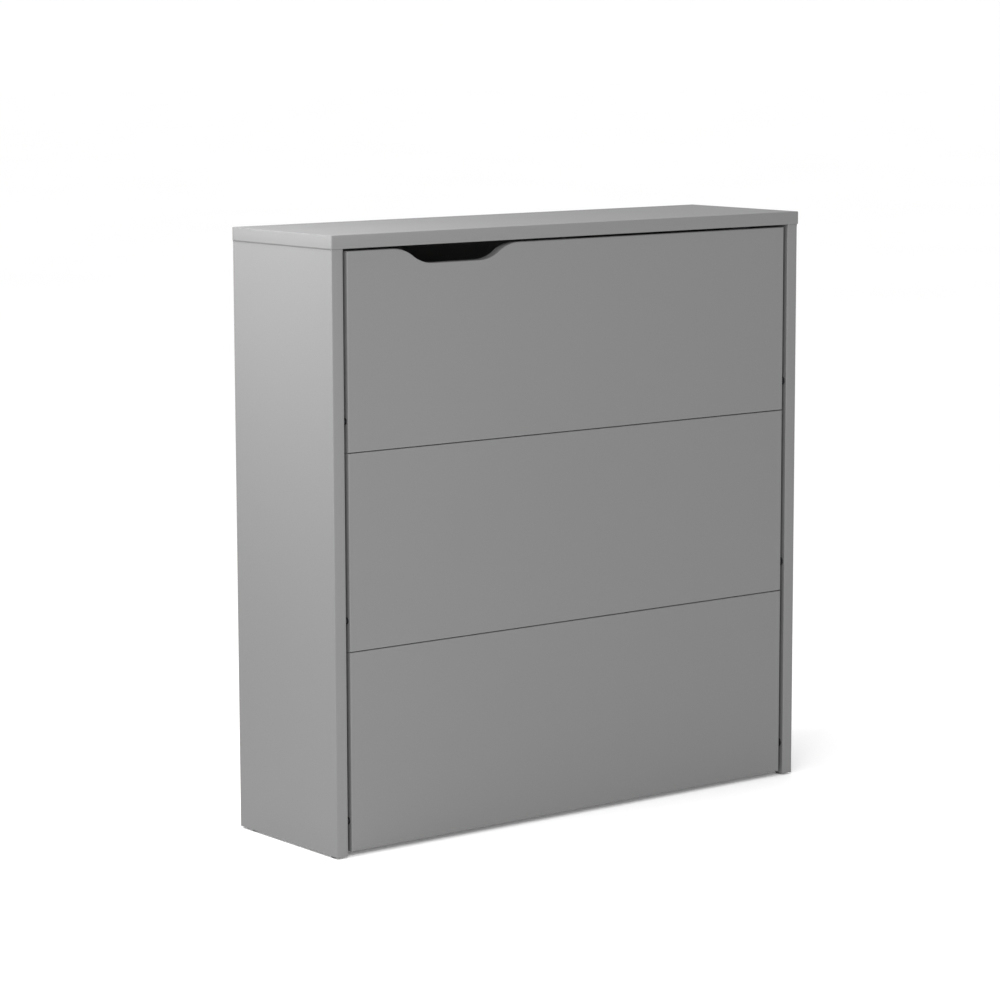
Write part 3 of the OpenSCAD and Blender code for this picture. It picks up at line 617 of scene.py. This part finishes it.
def board(outline, thickness, ease_low, ease_high, holes=(), rings=None, shifts=None, ring_trim=None):
    """A stack of rings: outline + inset * mitre (+ a shift), at each ring's height, closed by two faces.

    Each hole is a counterclockwise loop whose wall runs from face to face, with edges eased by SEAM."""
    if rings is None:
        rings = eased_rings(thickness, ease_low, ease_high)
    count, inset, height = len(outline), rings[..., 0], rings[..., 1]
    inset = np.broadcast_to(inset.reshape(len(rings), -1), (len(rings), count))
    height = np.broadcast_to(height.reshape(len(rings), -1), (len(rings), count))
    across = outline[None] + inset[..., None] * mitres(outline)[None]
    if shifts is not None:
        across = across + shifts
    trim = np.ones(len(rings)) if ring_trim is None else np.asarray(ring_trim, float)
    if ring_trim is None:
        trim[[0, -1]] = 0.0
    ring_points = np.concatenate([across, height[..., None]], axis=-1)
    whole = Shape(ring_points, [grid_faces(len(rings), count, wrap=True)], np.repeat(trim, count))
    low_loops, high_loops = [across[0]], [across[-1]]
    low_index, high_index = [np.arange(count)], [np.arange(count) + (len(rings) - 1) * count]
    for loop in holes:
        start, n = len(whole.points), len(loop)
        wide = loop - SEAM * mitres(loop)
        walls = np.stack([np.column_stack([wide, np.zeros(n)]), np.column_stack([loop, np.full(n, SEAM)]),
                          np.column_stack([loop, np.full(n, thickness - SEAM)]),
                          np.column_stack([wide, np.full(n, thickness)])])
        wall_faces = grid_faces(4, n, wrap=True)[:, ::-1]
        whole = whole + Shape(walls, [wall_faces], np.repeat([trim[0], 1, 1, trim[-1]], n))
        low_loops.append(wide)
        high_loops.append(wide)
        low_index.append(start + np.arange(n))
        high_index.append(start + 3 * n + np.arange(n))
    low_face = np.concatenate(low_index)[flat_face(low_loops, False)]
    high_face = np.concatenate(high_index)[flat_face(high_loops, True)]
    return Shape(whole.points, whole.faces + [low_face, high_face], whole.trim)


plain = board(rounded_rectangle((0, 0), (1, 1), 0.01), 0.02, 0.001, 0.001)
print("a plain board has", len(plain.points), "points")

# %% [markdown]
# ## Top panel
# The top panel is a 22 mm board that stands a little proud of the sides. Its corners are rounded in plan by
# about 3 mm and its edges are eased by 1.5 mm, enough to catch a thin line of light.

# %% Top panel
MM = 0.001
low, high = bounds_of("top_panel")
top_outline = rounded_rectangle(low[:2], high[:2], 3 * MM)
show("top_panel", board(top_outline, high[2] - low[2], 1.5 * MM, 1.5 * MM).stood(2, 1, (0, 0, low[2])))
print("top panel:", shown["top_panel"], "triangles")

# %% [markdown]
# ## Side panels
# Each side is a board on edge. Along its back, on the inside, a rebate is cut for the back panel, so the stack
# of rings steps: near the inner face the rear corners move forward, past the rebate they move back. The outline
# has two extra corners, 6 mm below the top on the front and rear edges, so that the top can be eased less,
# because the top panel sits on it.

# %% Side panels
low, high = bounds_of("side_panel_right")
back_low, back_high = bounds_of("back_panel_upper")
rebate_depth = high[1] - back_low[1]
REBATE_PLAY, TOP_EDGE, STEP = 0.5 * MM, 6 * MM, 0.4 * MM
rebate_width = back_high[0] - low[0] + REBATE_PLAY
near_top = high[2] - TOP_EDGE
side_outline = np.array([
    [low[1], low[2]], [high[1], low[2]], [high[1], near_top], [high[1], high[2]], [low[1], high[2]],
    [low[1], near_top]])
ease = np.array([1.5, 0.8, 0.8, 0.3, 0.3, 1.5]) * MM
at_back = np.array([0, 1, 1, 1, 0, 0])
ends = eased_rings(1.0, 1.0, 1.0)
lower, upper = ends[:6], ends[6:] - [0.0, 1.0]
width = high[0] - low[0]
middle = np.array([-STEP, STEP])
side_inset = np.vstack([
    np.outer(lower[:, 0], ease), np.zeros((2, 6)), np.outer(upper[:, 0], ease)])
side_inset[[0, -1]] = ease + SEAM
side_height = np.vstack([
    np.outer(lower[:, 1], ease), rebate_width + np.outer(middle, 1 - at_back),
    width + np.outer(upper[:, 1], ease)])
shift = np.zeros((len(side_inset), 6, 2))
shift[:7, :, 0] = -rebate_depth * at_back
right_side = board(side_outline, width, 0, 0, rings=np.stack([side_inset, side_height], axis=-1), shifts=shift)
right_side = right_side.stood(0, 1, (low[0], 0, 0))
show("side_panel_right", right_side)
show("side_panel_left", right_side.mirrored())
print("rebate:", round(rebate_depth / MM, 1), "by", round(rebate_width / MM, 1), "mm")

# %% [markdown]
# ## Flap panels
# The three flaps are 18 mm boards with their front edges eased by 2 mm. The top one has the finger cut-out: an
# S-shaped shoulder, a flat, and a second shoulder. Its sizes are measured on the working part, from the corners
# of its rear face; then we draw it again with finer arcs and ease its front edge, as a router bit would.

# %% The finger cut-out
def corners_of(node):
    """All corner points of a working part."""
    mesh = frame["nodes"][node].data
    points = np.empty(len(mesh.vertices) * 3, np.float32)
    mesh.vertices.foreach_get("co", points)
    return points.reshape(-1, 3).astype(float)


low, high = bounds_of("flap_panel_top")
points = corners_of("flap_panel_top")
on_cut = points[(points[:, 1] > high[1] - MM) & (points[:, 2] > high[2] - 40 * MM)
                & (np.abs(points[:, 0]) < high[0] - 5 * MM)]
cut_floor = on_cut[:, 2].min()
flat_x = on_cut[on_cut[:, 2] < cut_floor + 0.01 * MM][:, 0]
top_x = on_cut[on_cut[:, 2] > high[2] - 0.01 * MM][:, 0]
cut_centre = (top_x.min() + top_x.max()) / 2
half_top, half_flat = (top_x.max() - top_x.min()) / 2, (flat_x.max() - flat_x.min()) / 2
cut_depth = high[2] - cut_floor
print("cut-out in mm:", (np.array([cut_centre, 2 * half_top, 2 * half_flat, cut_depth]) / MM).round(1))


def cutout_path(centre, top, half_top, half_flat, depth, steps=14):
    """From right to left: two arcs that bend opposite ways, a flat, and the same mirrored.

    The radius of the arcs is (run^2 + depth^2) / (4 depth)."""
    run = half_top - half_flat
    radius = (run ** 2 + depth ** 2) / (4 * depth)
    turn = 2 * math.degrees(math.atan2(depth, run))
    upper = arc(half_top, -radius, radius, 90, 90 + turn, steps)
    lower = arc(half_flat, radius - depth, radius, -90 + turn, -90, steps)[1:]
    right = np.vstack([upper, lower])
    left = right[::-1] * [-1, 1]
    return np.vstack([right, left]) + [centre, top]


# %% [markdown]
# ## The flap boards
# A flap is a board stood on edge. Its outline has sharp corners, because a rounded one must have a larger radius
# than the easing takes off. The path of the cut-out replaces the middle of the top edge.

# %% Flap panels
def flap_shape(node, path=None):
    """A board stood on edge with its second face to the front; path is cut into its top edge."""
    low, high = bounds_of(node)
    corners = np.array([[low[0], low[2]], [high[0], low[2]], [high[0], high[2]], [low[0], high[2]]])
    outline = corners if path is None else np.vstack([corners[:3], path, corners[3:]])
    whole = board(outline, high[1] - low[1], 0.5 * MM, 2.0 * MM)
    points = np.column_stack([whole.points[:, 0], high[1] - whole.points[:, 2], whole.points[:, 1]])
    return Shape(points, whole.faces, whole.trim)


path = cutout_path(cut_centre, high[2], half_top, half_flat, cut_depth)
show("flap_panel_top", flap_shape("flap_panel_top", path))
show("flap_panel_middle", flap_shape("flap_panel_middle"))
show("flap_panel_bottom", flap_shape("flap_panel_bottom"))
print("flaps:", [shown[n] for n in shown if n.startswith("flap_panel")], "triangles")

# %% [markdown]
# ## Plain boards inside
# The base panel, the rails, and the floors, dividers and rear lips of the bins are all rectangles of board.
# Their thickness is simply their shortest side. The upper back panel and the rear rail also have the two holes
# for the wall screws, which the record gives.

# %% Plain boards
wall = next(mount for mount in frame["record"]["mounts"] if mount["name"] == "wall_fixing")
wall_x = wall["dims"]["spacing_x_mm"] * MM / 2
wall_z, hole_radius = wall["pos_m"][2], wall["dims"]["hole_r_mm"] * MM


def plain_board(node, ease, corner, holes=(), ring_trim=None):
    """A rectangle in the two longer directions, as thick as the shortest one."""
    low, high = bounds_of(node)
    axis = int(np.argmin(high - low))
    u, v = (axis + 1) % 3, (axis + 2) % 3
    outline = rounded_rectangle((low[u], low[v]), (high[u], high[v]), corner, steps=3)
    origin = np.zeros(3)
    origin[axis] = low[axis]
    return board(outline, high[axis] - low[axis], ease, ease, holes, ring_trim=ring_trim).stood(axis, 1, origin)


wall_holes = [arc(wall_z, s * wall_x, hole_radius, 0, 360, 32)[:-1] for s in (-1, 1)]
FLAPS = ("top", "middle", "bottom")
inner_boards = ["base_panel", "rail_upper", "rail_lower"] + [
    f"{kind}_{flap}" for kind in ("bin_floor", "bin_divider", "bin_rear_lip") for flap in FLAPS]
for node in inner_boards:
    show(node, plain_board(node, 0.5 * MM, 0.8 * MM))
show("rear_rail", plain_board("rear_rail", 0.5 * MM, 0.8 * MM, wall_holes))
foil_front = [0] + [1] * 11
show("back_panel_upper", plain_board("back_panel_upper", 0.3 * MM, 0.5 * MM, wall_holes, foil_front))
show("back_panel_lower", plain_board("back_panel_lower", 0.3 * MM, 0.5 * MM, (), foil_front))
print("plain boards:", len(inner_boards) + 3)

# %% [markdown]
# ## Separate bodies of a part
# Screws and pins come in groups: one working part holds many of them. To put a detailed one in each place we
# need the places. Two triangles belong together if they share a corner, so we give every corner a label and let
# the lowest label spread until nothing changes; each label left over is one screw.

# %% Find the bodies
def bodies_in(node):
    """The points of each separate body of a working part, as a list of arrays."""
    mesh = frame["nodes"][node].data
    mesh.calc_loop_triangles()
    corners = np.empty(len(mesh.loop_triangles) * 3, np.int32)
    mesh.loop_triangles.foreach_get("vertices", corners)
    points = corners_of(node)
    _, same = np.unique(points.round(5), axis=0, return_inverse=True)
    same = same.reshape(-1)
    triangles = same[corners].reshape(-1, 3)
    label = np.arange(same.max() + 1)
    while True:
        spread = label.copy()
        np.minimum.at(spread, triangles.ravel(), np.repeat(label[triangles].min(axis=1), 3))
        spread = spread[spread]
        if np.array_equal(spread, label):
            break
        label = spread
    return [points[label[same] == k] for k in np.unique(label[same])]


def head_end(points, axis):
    """How a turned body lies along an axis: sign and place of its wider end, its length and its radius."""
    low, high = points.min(axis=0), points.max(axis=0)
    middle = (low + high) / 2
    across = np.delete(points - middle, axis, axis=1)
    radius = np.linalg.norm(across, axis=1)
    at_low = radius[points[:, axis] < low[axis] + 0.2 * MM].max()
    at_high = radius[points[:, axis] > high[axis] - 0.2 * MM].max()
    sign = 1 if at_high > at_low else -1
    origin = middle.copy()
    origin[axis] = high[axis] if sign > 0 else low[axis]
    return sign, origin, high[axis] - low[axis], max(at_low, at_high)


screws = bodies_in("flap_screws_top")
print("screws on the top flap:", len(screws), "first:", head_end(screws[0], 1)[2] / MM, "mm long")

# %% [markdown]
# ## Turned parts
# Screws, pins, bushes, rollers, glides and plungers are made on a lathe or in a round mould. Their surface is
# a profile carried round an axis. A solid one starts and ends on the axis, and a fan of triangles closes each
# pole. One with a bore is a closed profile, so its grid closes both ways.

# %% Turning
def turned(profile, segments=32):
    """Row k is a circle of radius profile[k, 0] at height profile[k, 1]; both ends lie on the axis."""
    profile = np.asarray(profile, float)
    angle = np.arange(segments) * 2 * math.pi / segments
    radius, height = profile[1:-1, 0], profile[1:-1, 1]
    rings = np.stack([np.outer(radius, np.cos(angle)), np.outer(radius, np.sin(angle)),
                      np.repeat(height[:, None], segments, axis=1)], axis=-1).reshape(-1, 3)
    poles = len(rings)
    j = np.arange(segments)
    k = (j + 1) % segments
    last = poles - segments
    fans = [np.stack([np.full(segments, poles), k, j], axis=1),
            np.stack([np.full(segments, poles + 1), last + j, last + k], axis=1)]
    points = np.vstack([rings, [[0, 0, profile[0, 1]], [0, 0, profile[-1, 1]]]])
    return Shape(points, [grid_faces(len(radius), segments, wrap=True)] + fans)


def turned_ring(profile, segments=40):
    """The same for a closed profile that stays off the axis, listed up the outside and down the bore."""
    profile = np.asarray(profile, float)
    angle = np.arange(segments) * 2 * math.pi / segments
    rings = np.stack([np.outer(profile[:, 0], np.cos(angle)), np.outer(profile[:, 0], np.sin(angle)),
                      np.repeat(profile[:, 1:], segments, axis=1)], axis=-1)
    return Shape(rings, [grid_faces(len(profile), segments, wrap=True, wrap_rows=True)])


def cross_recess(points, reach, arm, depth):
    """How far a driver recess sinks each point: full depth on the axis, none at reach or off its arms."""
    across = np.abs(points[:, :2])
    off_arm, radius = across.min(axis=1), across.max(axis=1)
    slope = np.clip((arm - off_arm) / (0.5 * arm), 0, 1)
    return depth * slope * np.clip(1 - radius / reach, 0, 1) ** 0.6


print("a turned pin has", len(turned([(0, 0), (1, 0), (1, 5), (0, 5)]).points), "points")

# %% [markdown]
# ## Screws
# All screws here are countersunk with a slightly raised head and a cross recess. The raised head keeps it from
# lying exactly in the board's face. Only the head shows, so the shank keeps few faces, and its thread is cut
# as a gentle wave that climbs once per turn. The heads on the top flap are lower, because the catch closes
# against its strike plate.

# %% One screw, and all screw groups
PITCH, THREAD_DEPTH = 1.6 * MM, 0.12
FLOOR_ABOVE_BOARD = 0.08 * MM
HEAD_SHARE = 0.65


def screw_shape(length, head_radius, shank_radius, head_height, rise):
    """From the tip up: point, threaded shank, cone, rim, and a dome whose recess stays above the board."""
    shank_rows = np.linspace(-length + 2.2 * shank_radius, -head_height, 14)
    dome = np.linspace(1.0, 0.04, 13)
    profile = np.vstack([
        [[0, -length], [0.3 * shank_radius, -length + 0.4 * shank_radius]],
        np.column_stack([np.full(14, shank_radius), shank_rows]),
        [[head_radius, -0.15 * MM]],
        np.column_stack([head_radius * dome, rise * (1 - dome ** 4)]),
        [[0, rise]]])
    whole = turned(profile, 28)
    points = whole.points
    on_head = points[:, 2] > -0.01 * MM
    recess = cross_recess(points, 0.68 * head_radius, 0.17 * head_radius, rise)
    recess = np.minimum(recess, np.maximum(points[:, 2] - FLOOR_ABOVE_BOARD, 0))
    points[:, 2] -= np.where(on_head, recess, 0)
    on_shank = (points[:, 2] < -head_height - 0.1 * MM) & (points[:, 2] > -length + 2 * shank_radius)
    turns = np.arctan2(points[:, 1], points[:, 0]) / (2 * math.pi) - points[:, 2] / PITCH
    wave = 1 - THREAD_DEPTH * np.where(on_shank, 0.5 - 0.5 * np.cos(2 * math.pi * turns), 0)
    points[:, :2] *= wave[:, None]
    return whole


def screw_group(node, shank_share=0.515, rise=0.65 * MM):
    """One detailed screw in the place of each body of the group, along the axis where that body is longest."""
    placed, ready = [], {}
    for points in bodies_in(node):
        axis = int(np.argmax(np.ptp(points, axis=0)))
        sign, origin, length, radius = head_end(points, axis)
        key = round(length / MM, 1), round(radius / MM, 1)
        if key not in ready:
            ready[key] = screw_shape(length, radius, shank_share * radius, HEAD_SHARE * radius, rise)
        placed.append(ready[key].stood(axis, sign, origin))
    return joined(placed)


show("back_screws", screw_group("back_screws"), crease=40)
show("fitting_screws", screw_group("fitting_screws"), crease=40)
for flap in FLAPS:
    rise = (0.18 if flap == "top" else 0.65) * MM
    show(f"flap_screws_{flap}", screw_group(f"flap_screws_{flap}", rise=rise), crease=40)
    show(f"bin_screws_{flap}", screw_group(f"bin_screws_{flap}", 0.54), crease=40)
print("screw triangles:", sum(n for node, n in shown.items() if "screws" in node))

# %% [markdown]
# ## Cam locks
# A cam lock is a die-cast zinc drum that pulls its bolt tight as it turns. Its face has a thin rim that covers
# the edge of its hole, a cross recess for the driver, and a raised mark that points at the bolt.

# %% Cam locks
def cam_shape(radius, height):
    """A drum with a chamfered foot, a rim 0.8 mm thick and 0.8 mm wider, and a dished face with the recess."""
    rim, face = radius + 0.8 * MM, np.linspace(0.82, 0.03, 16)
    profile = np.vstack([
        [[0, -height], [radius - 0.8 * MM, -height], [radius - 0.1 * MM, -height + 0.8 * MM],
         [radius - 0.1 * MM, -0.05 * MM], [rim, 0], [rim, 0.6 * MM], [rim - 0.2 * MM, 0.8 * MM],
         [0.86 * radius, 0.8 * MM]],
        np.column_stack([radius * face, np.full(16, 0.65 * MM)]), [[0, 0.65 * MM]]])
    whole = turned(profile, 48)
    points = whole.points
    on_face = np.abs(points[:, 2] - 0.65 * MM) < 0.01 * MM
    recess = cross_recess(points, 0.72 * radius, 0.13 * radius, 0.57 * MM)
    angle = np.arctan2(points[:, 1], points[:, 0])
    reach = np.hypot(points[:, 0], points[:, 1]) / radius
    mark = np.clip((0.16 - np.abs(angle - 0.8)) / 0.08, 0, 1) * np.clip((reach - 0.5) / 0.06, 0, 1)
    points[:, 2] += np.where(on_face, mark * 0.25 * MM - recess, 0)
    return whole


def cam_group(node):
    """One cam for each body, along its shortest side, its face in the nearer face of the board it is in."""
    placed = []
    boards = [bounds_of(n) for n in ("side_panel_left", "side_panel_right", "base_panel", "rail_upper",
                                     "rail_lower", "rear_rail")]
    for points in bodies_in(node):
        low, high = points.min(axis=0), points.max(axis=0)
        size, middle = high - low, (low + high) / 2
        axis = int(np.argmin(size))
        home = next((a, b) for a, b in boards if (middle > a).all() and (middle < b).all())
        sign = 1 if abs(home[1][axis] - high[axis]) < abs(home[0][axis] - low[axis]) else -1
        origin = middle.copy()
        origin[axis] = high[axis] if sign > 0 else low[axis]
        radius = np.delete(size, axis).max() / 2
        one = cam_shape(radius, size[axis]).stood(axis, sign, origin)
        placed.append(one)
    return joined(placed)


show("cam_locks", cam_group("cam_locks"))
print("cam locks:", shown["cam_locks"], "triangles")

# %% [markdown]
# ## Pins, bushes and rollers
# Each flap turns on two steel pins in dark nylon bushes, and a roller on a fixed pin runs in the slot of each
# bin side and stops the flap. Ends are chamfered, so that the parts slip into each other.

# %% Pins, bushes and rollers
BORE = 4.1 * MM


def group_of(node, axis, make):
    """make(length, radius) gives a shape whose third axis is laid along axis, its origin at the head end."""
    placed = []
    for points in bodies_in(node):
        sign, origin, length, radius = head_end(points, axis)
        one = make(length, radius).stood(axis, sign, origin)
        placed.append(one)
    return joined(placed)


def bush_shape(length, radius):
    """A flange and a barrel with a bore; each edge has a small chamfer, c."""
    bore, barrel, flange, c = BORE, 6.0 * MM, 1.5 * MM, 0.3 * MM
    return turned_ring([
        (barrel - c, -length), (barrel, -length + c), (barrel, -flange), (radius - c, -flange),
        (radius, c - flange), (radius, -c), (radius - c, 0), (bore + 2 * c, 0), (bore, -2 * c), (bore, -length)])


def rod_shape(collar_radius, collar_low, collar_high, radius, low, high, c=0.4 * MM):
    """A rod with chamfered ends and a collar between two heights."""
    inner = collar_radius - c / 2
    return turned([
        (0, low), (radius - c, low), (radius, low + c), (radius, collar_low), (inner, collar_low),
        (collar_radius, collar_low + c / 2), (collar_radius, collar_high - c / 2), (inner, collar_high),
        (radius, collar_high), (radius, high - c), (radius - c, high), (0, high)], 36)


def pins_of(node):
    """Along X: the collar is where the body is widest, the rod runs from end to end."""
    placed = []
    for points in bodies_in(node):
        low, high = points.min(axis=0), points.max(axis=0)
        middle = (low + high) / 2
        radius = np.linalg.norm((points - middle)[:, 1:], axis=1)
        wide = points[radius > radius.max() - 0.1 * MM][:, 0]
        rod = np.median(radius[(points[:, 0] < low[0] + 0.1 * MM) | (points[:, 0] > high[0] - 0.1 * MM)])
        one = rod_shape(radius.max(), wide.min(), wide.max(), rod, low[0], high[0])
        one = one.stood(0, 1, (0, *middle[1:]))
        placed.append(one)
    return joined(placed)


def roller_shape(length, radius):
    """A sleeve with a bore and a shallow groove in its middle."""
    bore, c, groove = BORE, 0.35 * MM, 0.15 * MM
    return turned_ring([
        (radius - c, -length), (radius, -length + c), (radius, -0.6 * length), (radius - groove, -0.5 * length),
        (radius, -0.4 * length), (radius, -c), (radius - c, 0), (bore, 0), (bore, -length)])


show("pivot_bushes", group_of("pivot_bushes", 0, bush_shape))
show("stop_sleeves", group_of("stop_sleeves", 0, roller_shape))
show("stop_pins", pins_of("stop_pins"))
for flap in FLAPS:
    show(f"pivot_pins_{flap}", pins_of(f"pivot_pins_{flap}"))
print("pins and rollers:", shown["stop_pins"] + shown["stop_sleeves"], "triangles")

# %% [markdown]
# ## Bin sides
# A bin side is a quarter disc about the flap's pivot, with an arc slot for the roller. The pivot comes from
# the joint in the record, the slot's radius and its upper end from where the stop pin stands, and its lower end
# from how far the flap opens.

# %% Bin sides
joint_of = {joint["child"]: joint for joint in frame["joints"]}
stop_places = [(points.min(axis=0) + points.max(axis=0)) / 2 for points in bodies_in("stop_pins")]
roller_radius = max(head_end(points, 0)[3] for points in bodies_in("stop_sleeves"))
STOP_ABOVE_PIVOT = 0.17
SLOT_PLAY = 0.5 * MM


def bin_side_shape(node, flap):
    """Outline: up the front edge, along the bottom, round the arc. The slot is two arcs and two round ends."""
    low, high = bounds_of(node)
    pivot = np.array(joint_of["flap_" + flap]["pos_m"])
    radius = math.hypot(low[1] - pivot[1], high[2] - pivot[2])
    end_a = math.degrees(math.asin((low[2] - pivot[2]) / radius))
    end_b = math.degrees(math.acos((low[1] - pivot[1]) / radius))
    corner = np.array([[low[1], low[2]]])
    outline = np.vstack([corner, arc(pivot[1], pivot[2], radius, end_a, end_b, 72)])
    stop = min(stop_places, key=lambda place: abs(place[2] - pivot[2] - STOP_ABOVE_PIVOT))
    away = stop[1:] - pivot[1:]
    run, half = np.linalg.norm(away), roller_radius + SLOT_PLAY
    end = math.degrees(math.atan2(away[1], away[0]))
    start = end - joint_of["flap_" + flap]["range_deg"][1]
    ends = [pivot[1:] + run * np.array([math.cos(math.radians(a)), math.sin(math.radians(a))])
            for a in (start, end)]
    slot = np.vstack([
        arc(*pivot[1:], run + half, start, end, 28), arc(*ends[1], half, end, end + 180, 10)[1:-1],
        arc(*pivot[1:], run - half, end, start, 28), arc(*ends[0], half, start + 180, start + 360, 10)[1:-1]])
    return board(outline, high[0] - low[0], 0.5 * MM, 0.5 * MM, [slot]).stood(0, 1, (low[0], 0, 0))


for flap in FLAPS:
    for hand in ("left", "right"):
        node = f"bin_side_{hand}_{flap}"
        show(node, bin_side_shape(node, flap))
print("bin side:", shown["bin_side_left_top"], "triangles; roller radius", roller_radius / MM, "mm")

# %% [markdown]
# ## Brackets and strike plates
# The bins hang on angle brackets of 1.5 mm steel, bent with a small radius, so their section is an L with a
# rounded heel. The strike plates are flat blanks with rounded corners, against which the magnet or the latch
# plunger rests.

# %% Brackets and plates
SHEET, BEND = 1.5 * MM, 1.0 * MM


def bracket_shape(size, hand):
    """An L-shaped outline with a bend radius of 1 mm inside, as tall as the bracket."""
    leg, t, bend = size[0], SHEET, BEND
    outline = np.vstack([
        arc(t + bend, t + bend, t + bend, 180, 270, 8), [[leg, 0], [leg, t]],
        arc(t + bend, t + bend, bend, 270, 180, 6), [[t, leg], [0, leg]]])
    whole = board(outline, size[2], 0.3 * MM, 0.3 * MM).stood(2, 1, (0, 0, -size[2] / 2))
    return whole if hand < 0 else whole.mirrored()


def bracket_group(node):
    """One bracket for each body. Its heel points to the side of the cabinet that it is on."""
    placed = []
    for points in bodies_in(node):
        low, high = points.min(axis=0), points.max(axis=0)
        hand = -1 if low[0] < 0 else 1
        heel = np.array([low[0] if hand < 0 else high[0], low[1], (low[2] + high[2]) / 2])
        one = bracket_shape(high - low, hand)
        one.points += heel
        placed.append(one)
    return joined(placed)


for flap in FLAPS:
    show(f"flap_brackets_{flap}", bracket_group(f"flap_brackets_{flap}"))
    show(f"strike_plate_{flap}", plain_board(f"strike_plate_{flap}", 0.3 * MM, 2.5 * MM))
print("bracket group:", shown["flap_brackets_top"], "triangles")

# %% [markdown]
# ## Glides and plungers
# A glide is a domed plastic foot with a nail moulded in. The latch plunger is a nylon rod with a rounded tip and
# two grip grooves.

# %% Glides and plungers
def glide_shape(height, radius):
    """From the floor up: a domed sole, the rim, the flat top of the foot and the nail."""
    foot, nail = 3 * MM, 1.5 * MM
    dome = np.linspace(0.05, 1.0, 10)
    return turned(np.vstack([
        [[0, 0]], np.column_stack([(radius - 0.8 * MM) * dome, 0.5 * MM * dome ** 4]),
        [[radius, 1.3 * MM], [radius, foot - 0.3 * MM], [radius - 0.3 * MM, foot], [nail, foot],
         [nail, height - MM], [0, height]]]), 40)


glides = []
for points in bodies_in("glides"):
    middle = (points.min(axis=0) + points.max(axis=0)) / 2
    across = np.linalg.norm((points - middle)[:, :2], axis=1)
    one = glide_shape(np.ptp(points[:, 2]), across.max())
    one = one.stood(2, 1, (middle[0], middle[1], points[:, 2].min()))
    glides.append(one)
show("glides", joined(glides))


def plunger_shape(length, radius):
    """A rod whose front is rounded off, with two grooves behind the tip."""
    groove = 0.35 * MM
    tip = np.linspace(0, math.pi / 2, 7)[1:]
    rounded = np.column_stack([radius - 1.2 * MM + 1.2 * MM * np.cos(tip), -1.2 * MM + 1.2 * MM * np.sin(tip)])
    grooves = np.vstack([[[radius, -at - 0.5 * MM], [radius - groove, -at], [radius, -at + 0.5 * MM]]
                         for at in (7 * MM, 5 * MM)])
    return turned(np.vstack([
        [[0, -length], [radius - 0.4 * MM, -length], [radius, -length + 0.4 * MM]], grooves,
        [[radius, -1.2 * MM]], rounded, [[0, 0]]]), 36)


for flap in ("middle", "bottom"):
    node = "latch_plunger_" + flap
    low, high = bounds_of(node)
    front = ((low[0] + high[0]) / 2, low[1], (low[2] + high[2]) / 2)
    show(node, plunger_shape(high[1] - low[1], (high[0] - low[0]) / 2).stood(1, -1, front))
print("glides:", shown["glides"], "plunger:", shown["latch_plunger_middle"], "triangles")

# %% [markdown]
# ## Springs
# The spring behind a plunger is a wire that climbs a helix, with its end turns closer together.

# %% Springs
def spring_shape(length, outer, wire, turns=6.0, per_turn=28, sides=10):
    """Wire swept along a helix. The climb, share - 0.6 sin(2 pi share) / (2 pi), is slower at both ends."""
    count = int(turns * per_turn)
    share = np.linspace(0, 1, count + 1)
    climb = share - np.sin(2 * math.pi * share) / (2 * math.pi) * 0.6
    angle = 2 * math.pi * turns * share
    centre = np.stack([(outer - wire) * np.cos(angle), (outer - wire) * np.sin(angle),
                       wire + (length - 2 * wire) * climb], axis=1)
    out = np.stack([np.cos(angle), np.sin(angle), np.zeros_like(angle)], axis=1)
    around = np.arange(sides) * 2 * math.pi / sides
    ring = (out[:, None] * np.cos(around)[None, :, None] + np.array([0, 0, 1.0]) * np.sin(around)[None, :, None])
    points = (centre[:, None] + wire * ring).reshape(-1, 3)
    j = np.arange(sides)
    k, last, start = (j + 1) % sides, count * sides, len(points)
    caps = [np.stack([np.full(sides, start), j, k], axis=1),
            np.stack([np.full(sides, start + 1), last + k, last + j], axis=1)]
    tube = grid_faces(count + 1, sides, wrap=True)[:, ::-1]
    return Shape(np.vstack([points, centre[0], centre[-1]]), [tube] + caps)


springs = []
for points in bodies_in("latch_springs"):
    low, high = points.min(axis=0), points.max(axis=0)
    middle = (low + high) / 2
    one = spring_shape(high[1] - low[1], (high[0] - low[0]) / 2, 0.5 * MM)
    one = one.stood(1, 1, (middle[0], low[1], middle[2]))
    springs.append(one)
show("latch_springs", joined(springs), crease=60)
print("springs:", shown["latch_springs"], "triangles")

# %% [markdown]
# ## Finish
# The last cell counts the pieces that got new surfaces, and their triangles.

# %% Count the new pieces
print("pieces with new surfaces:", len(shown), "with", sum(shown.values()), "triangles")
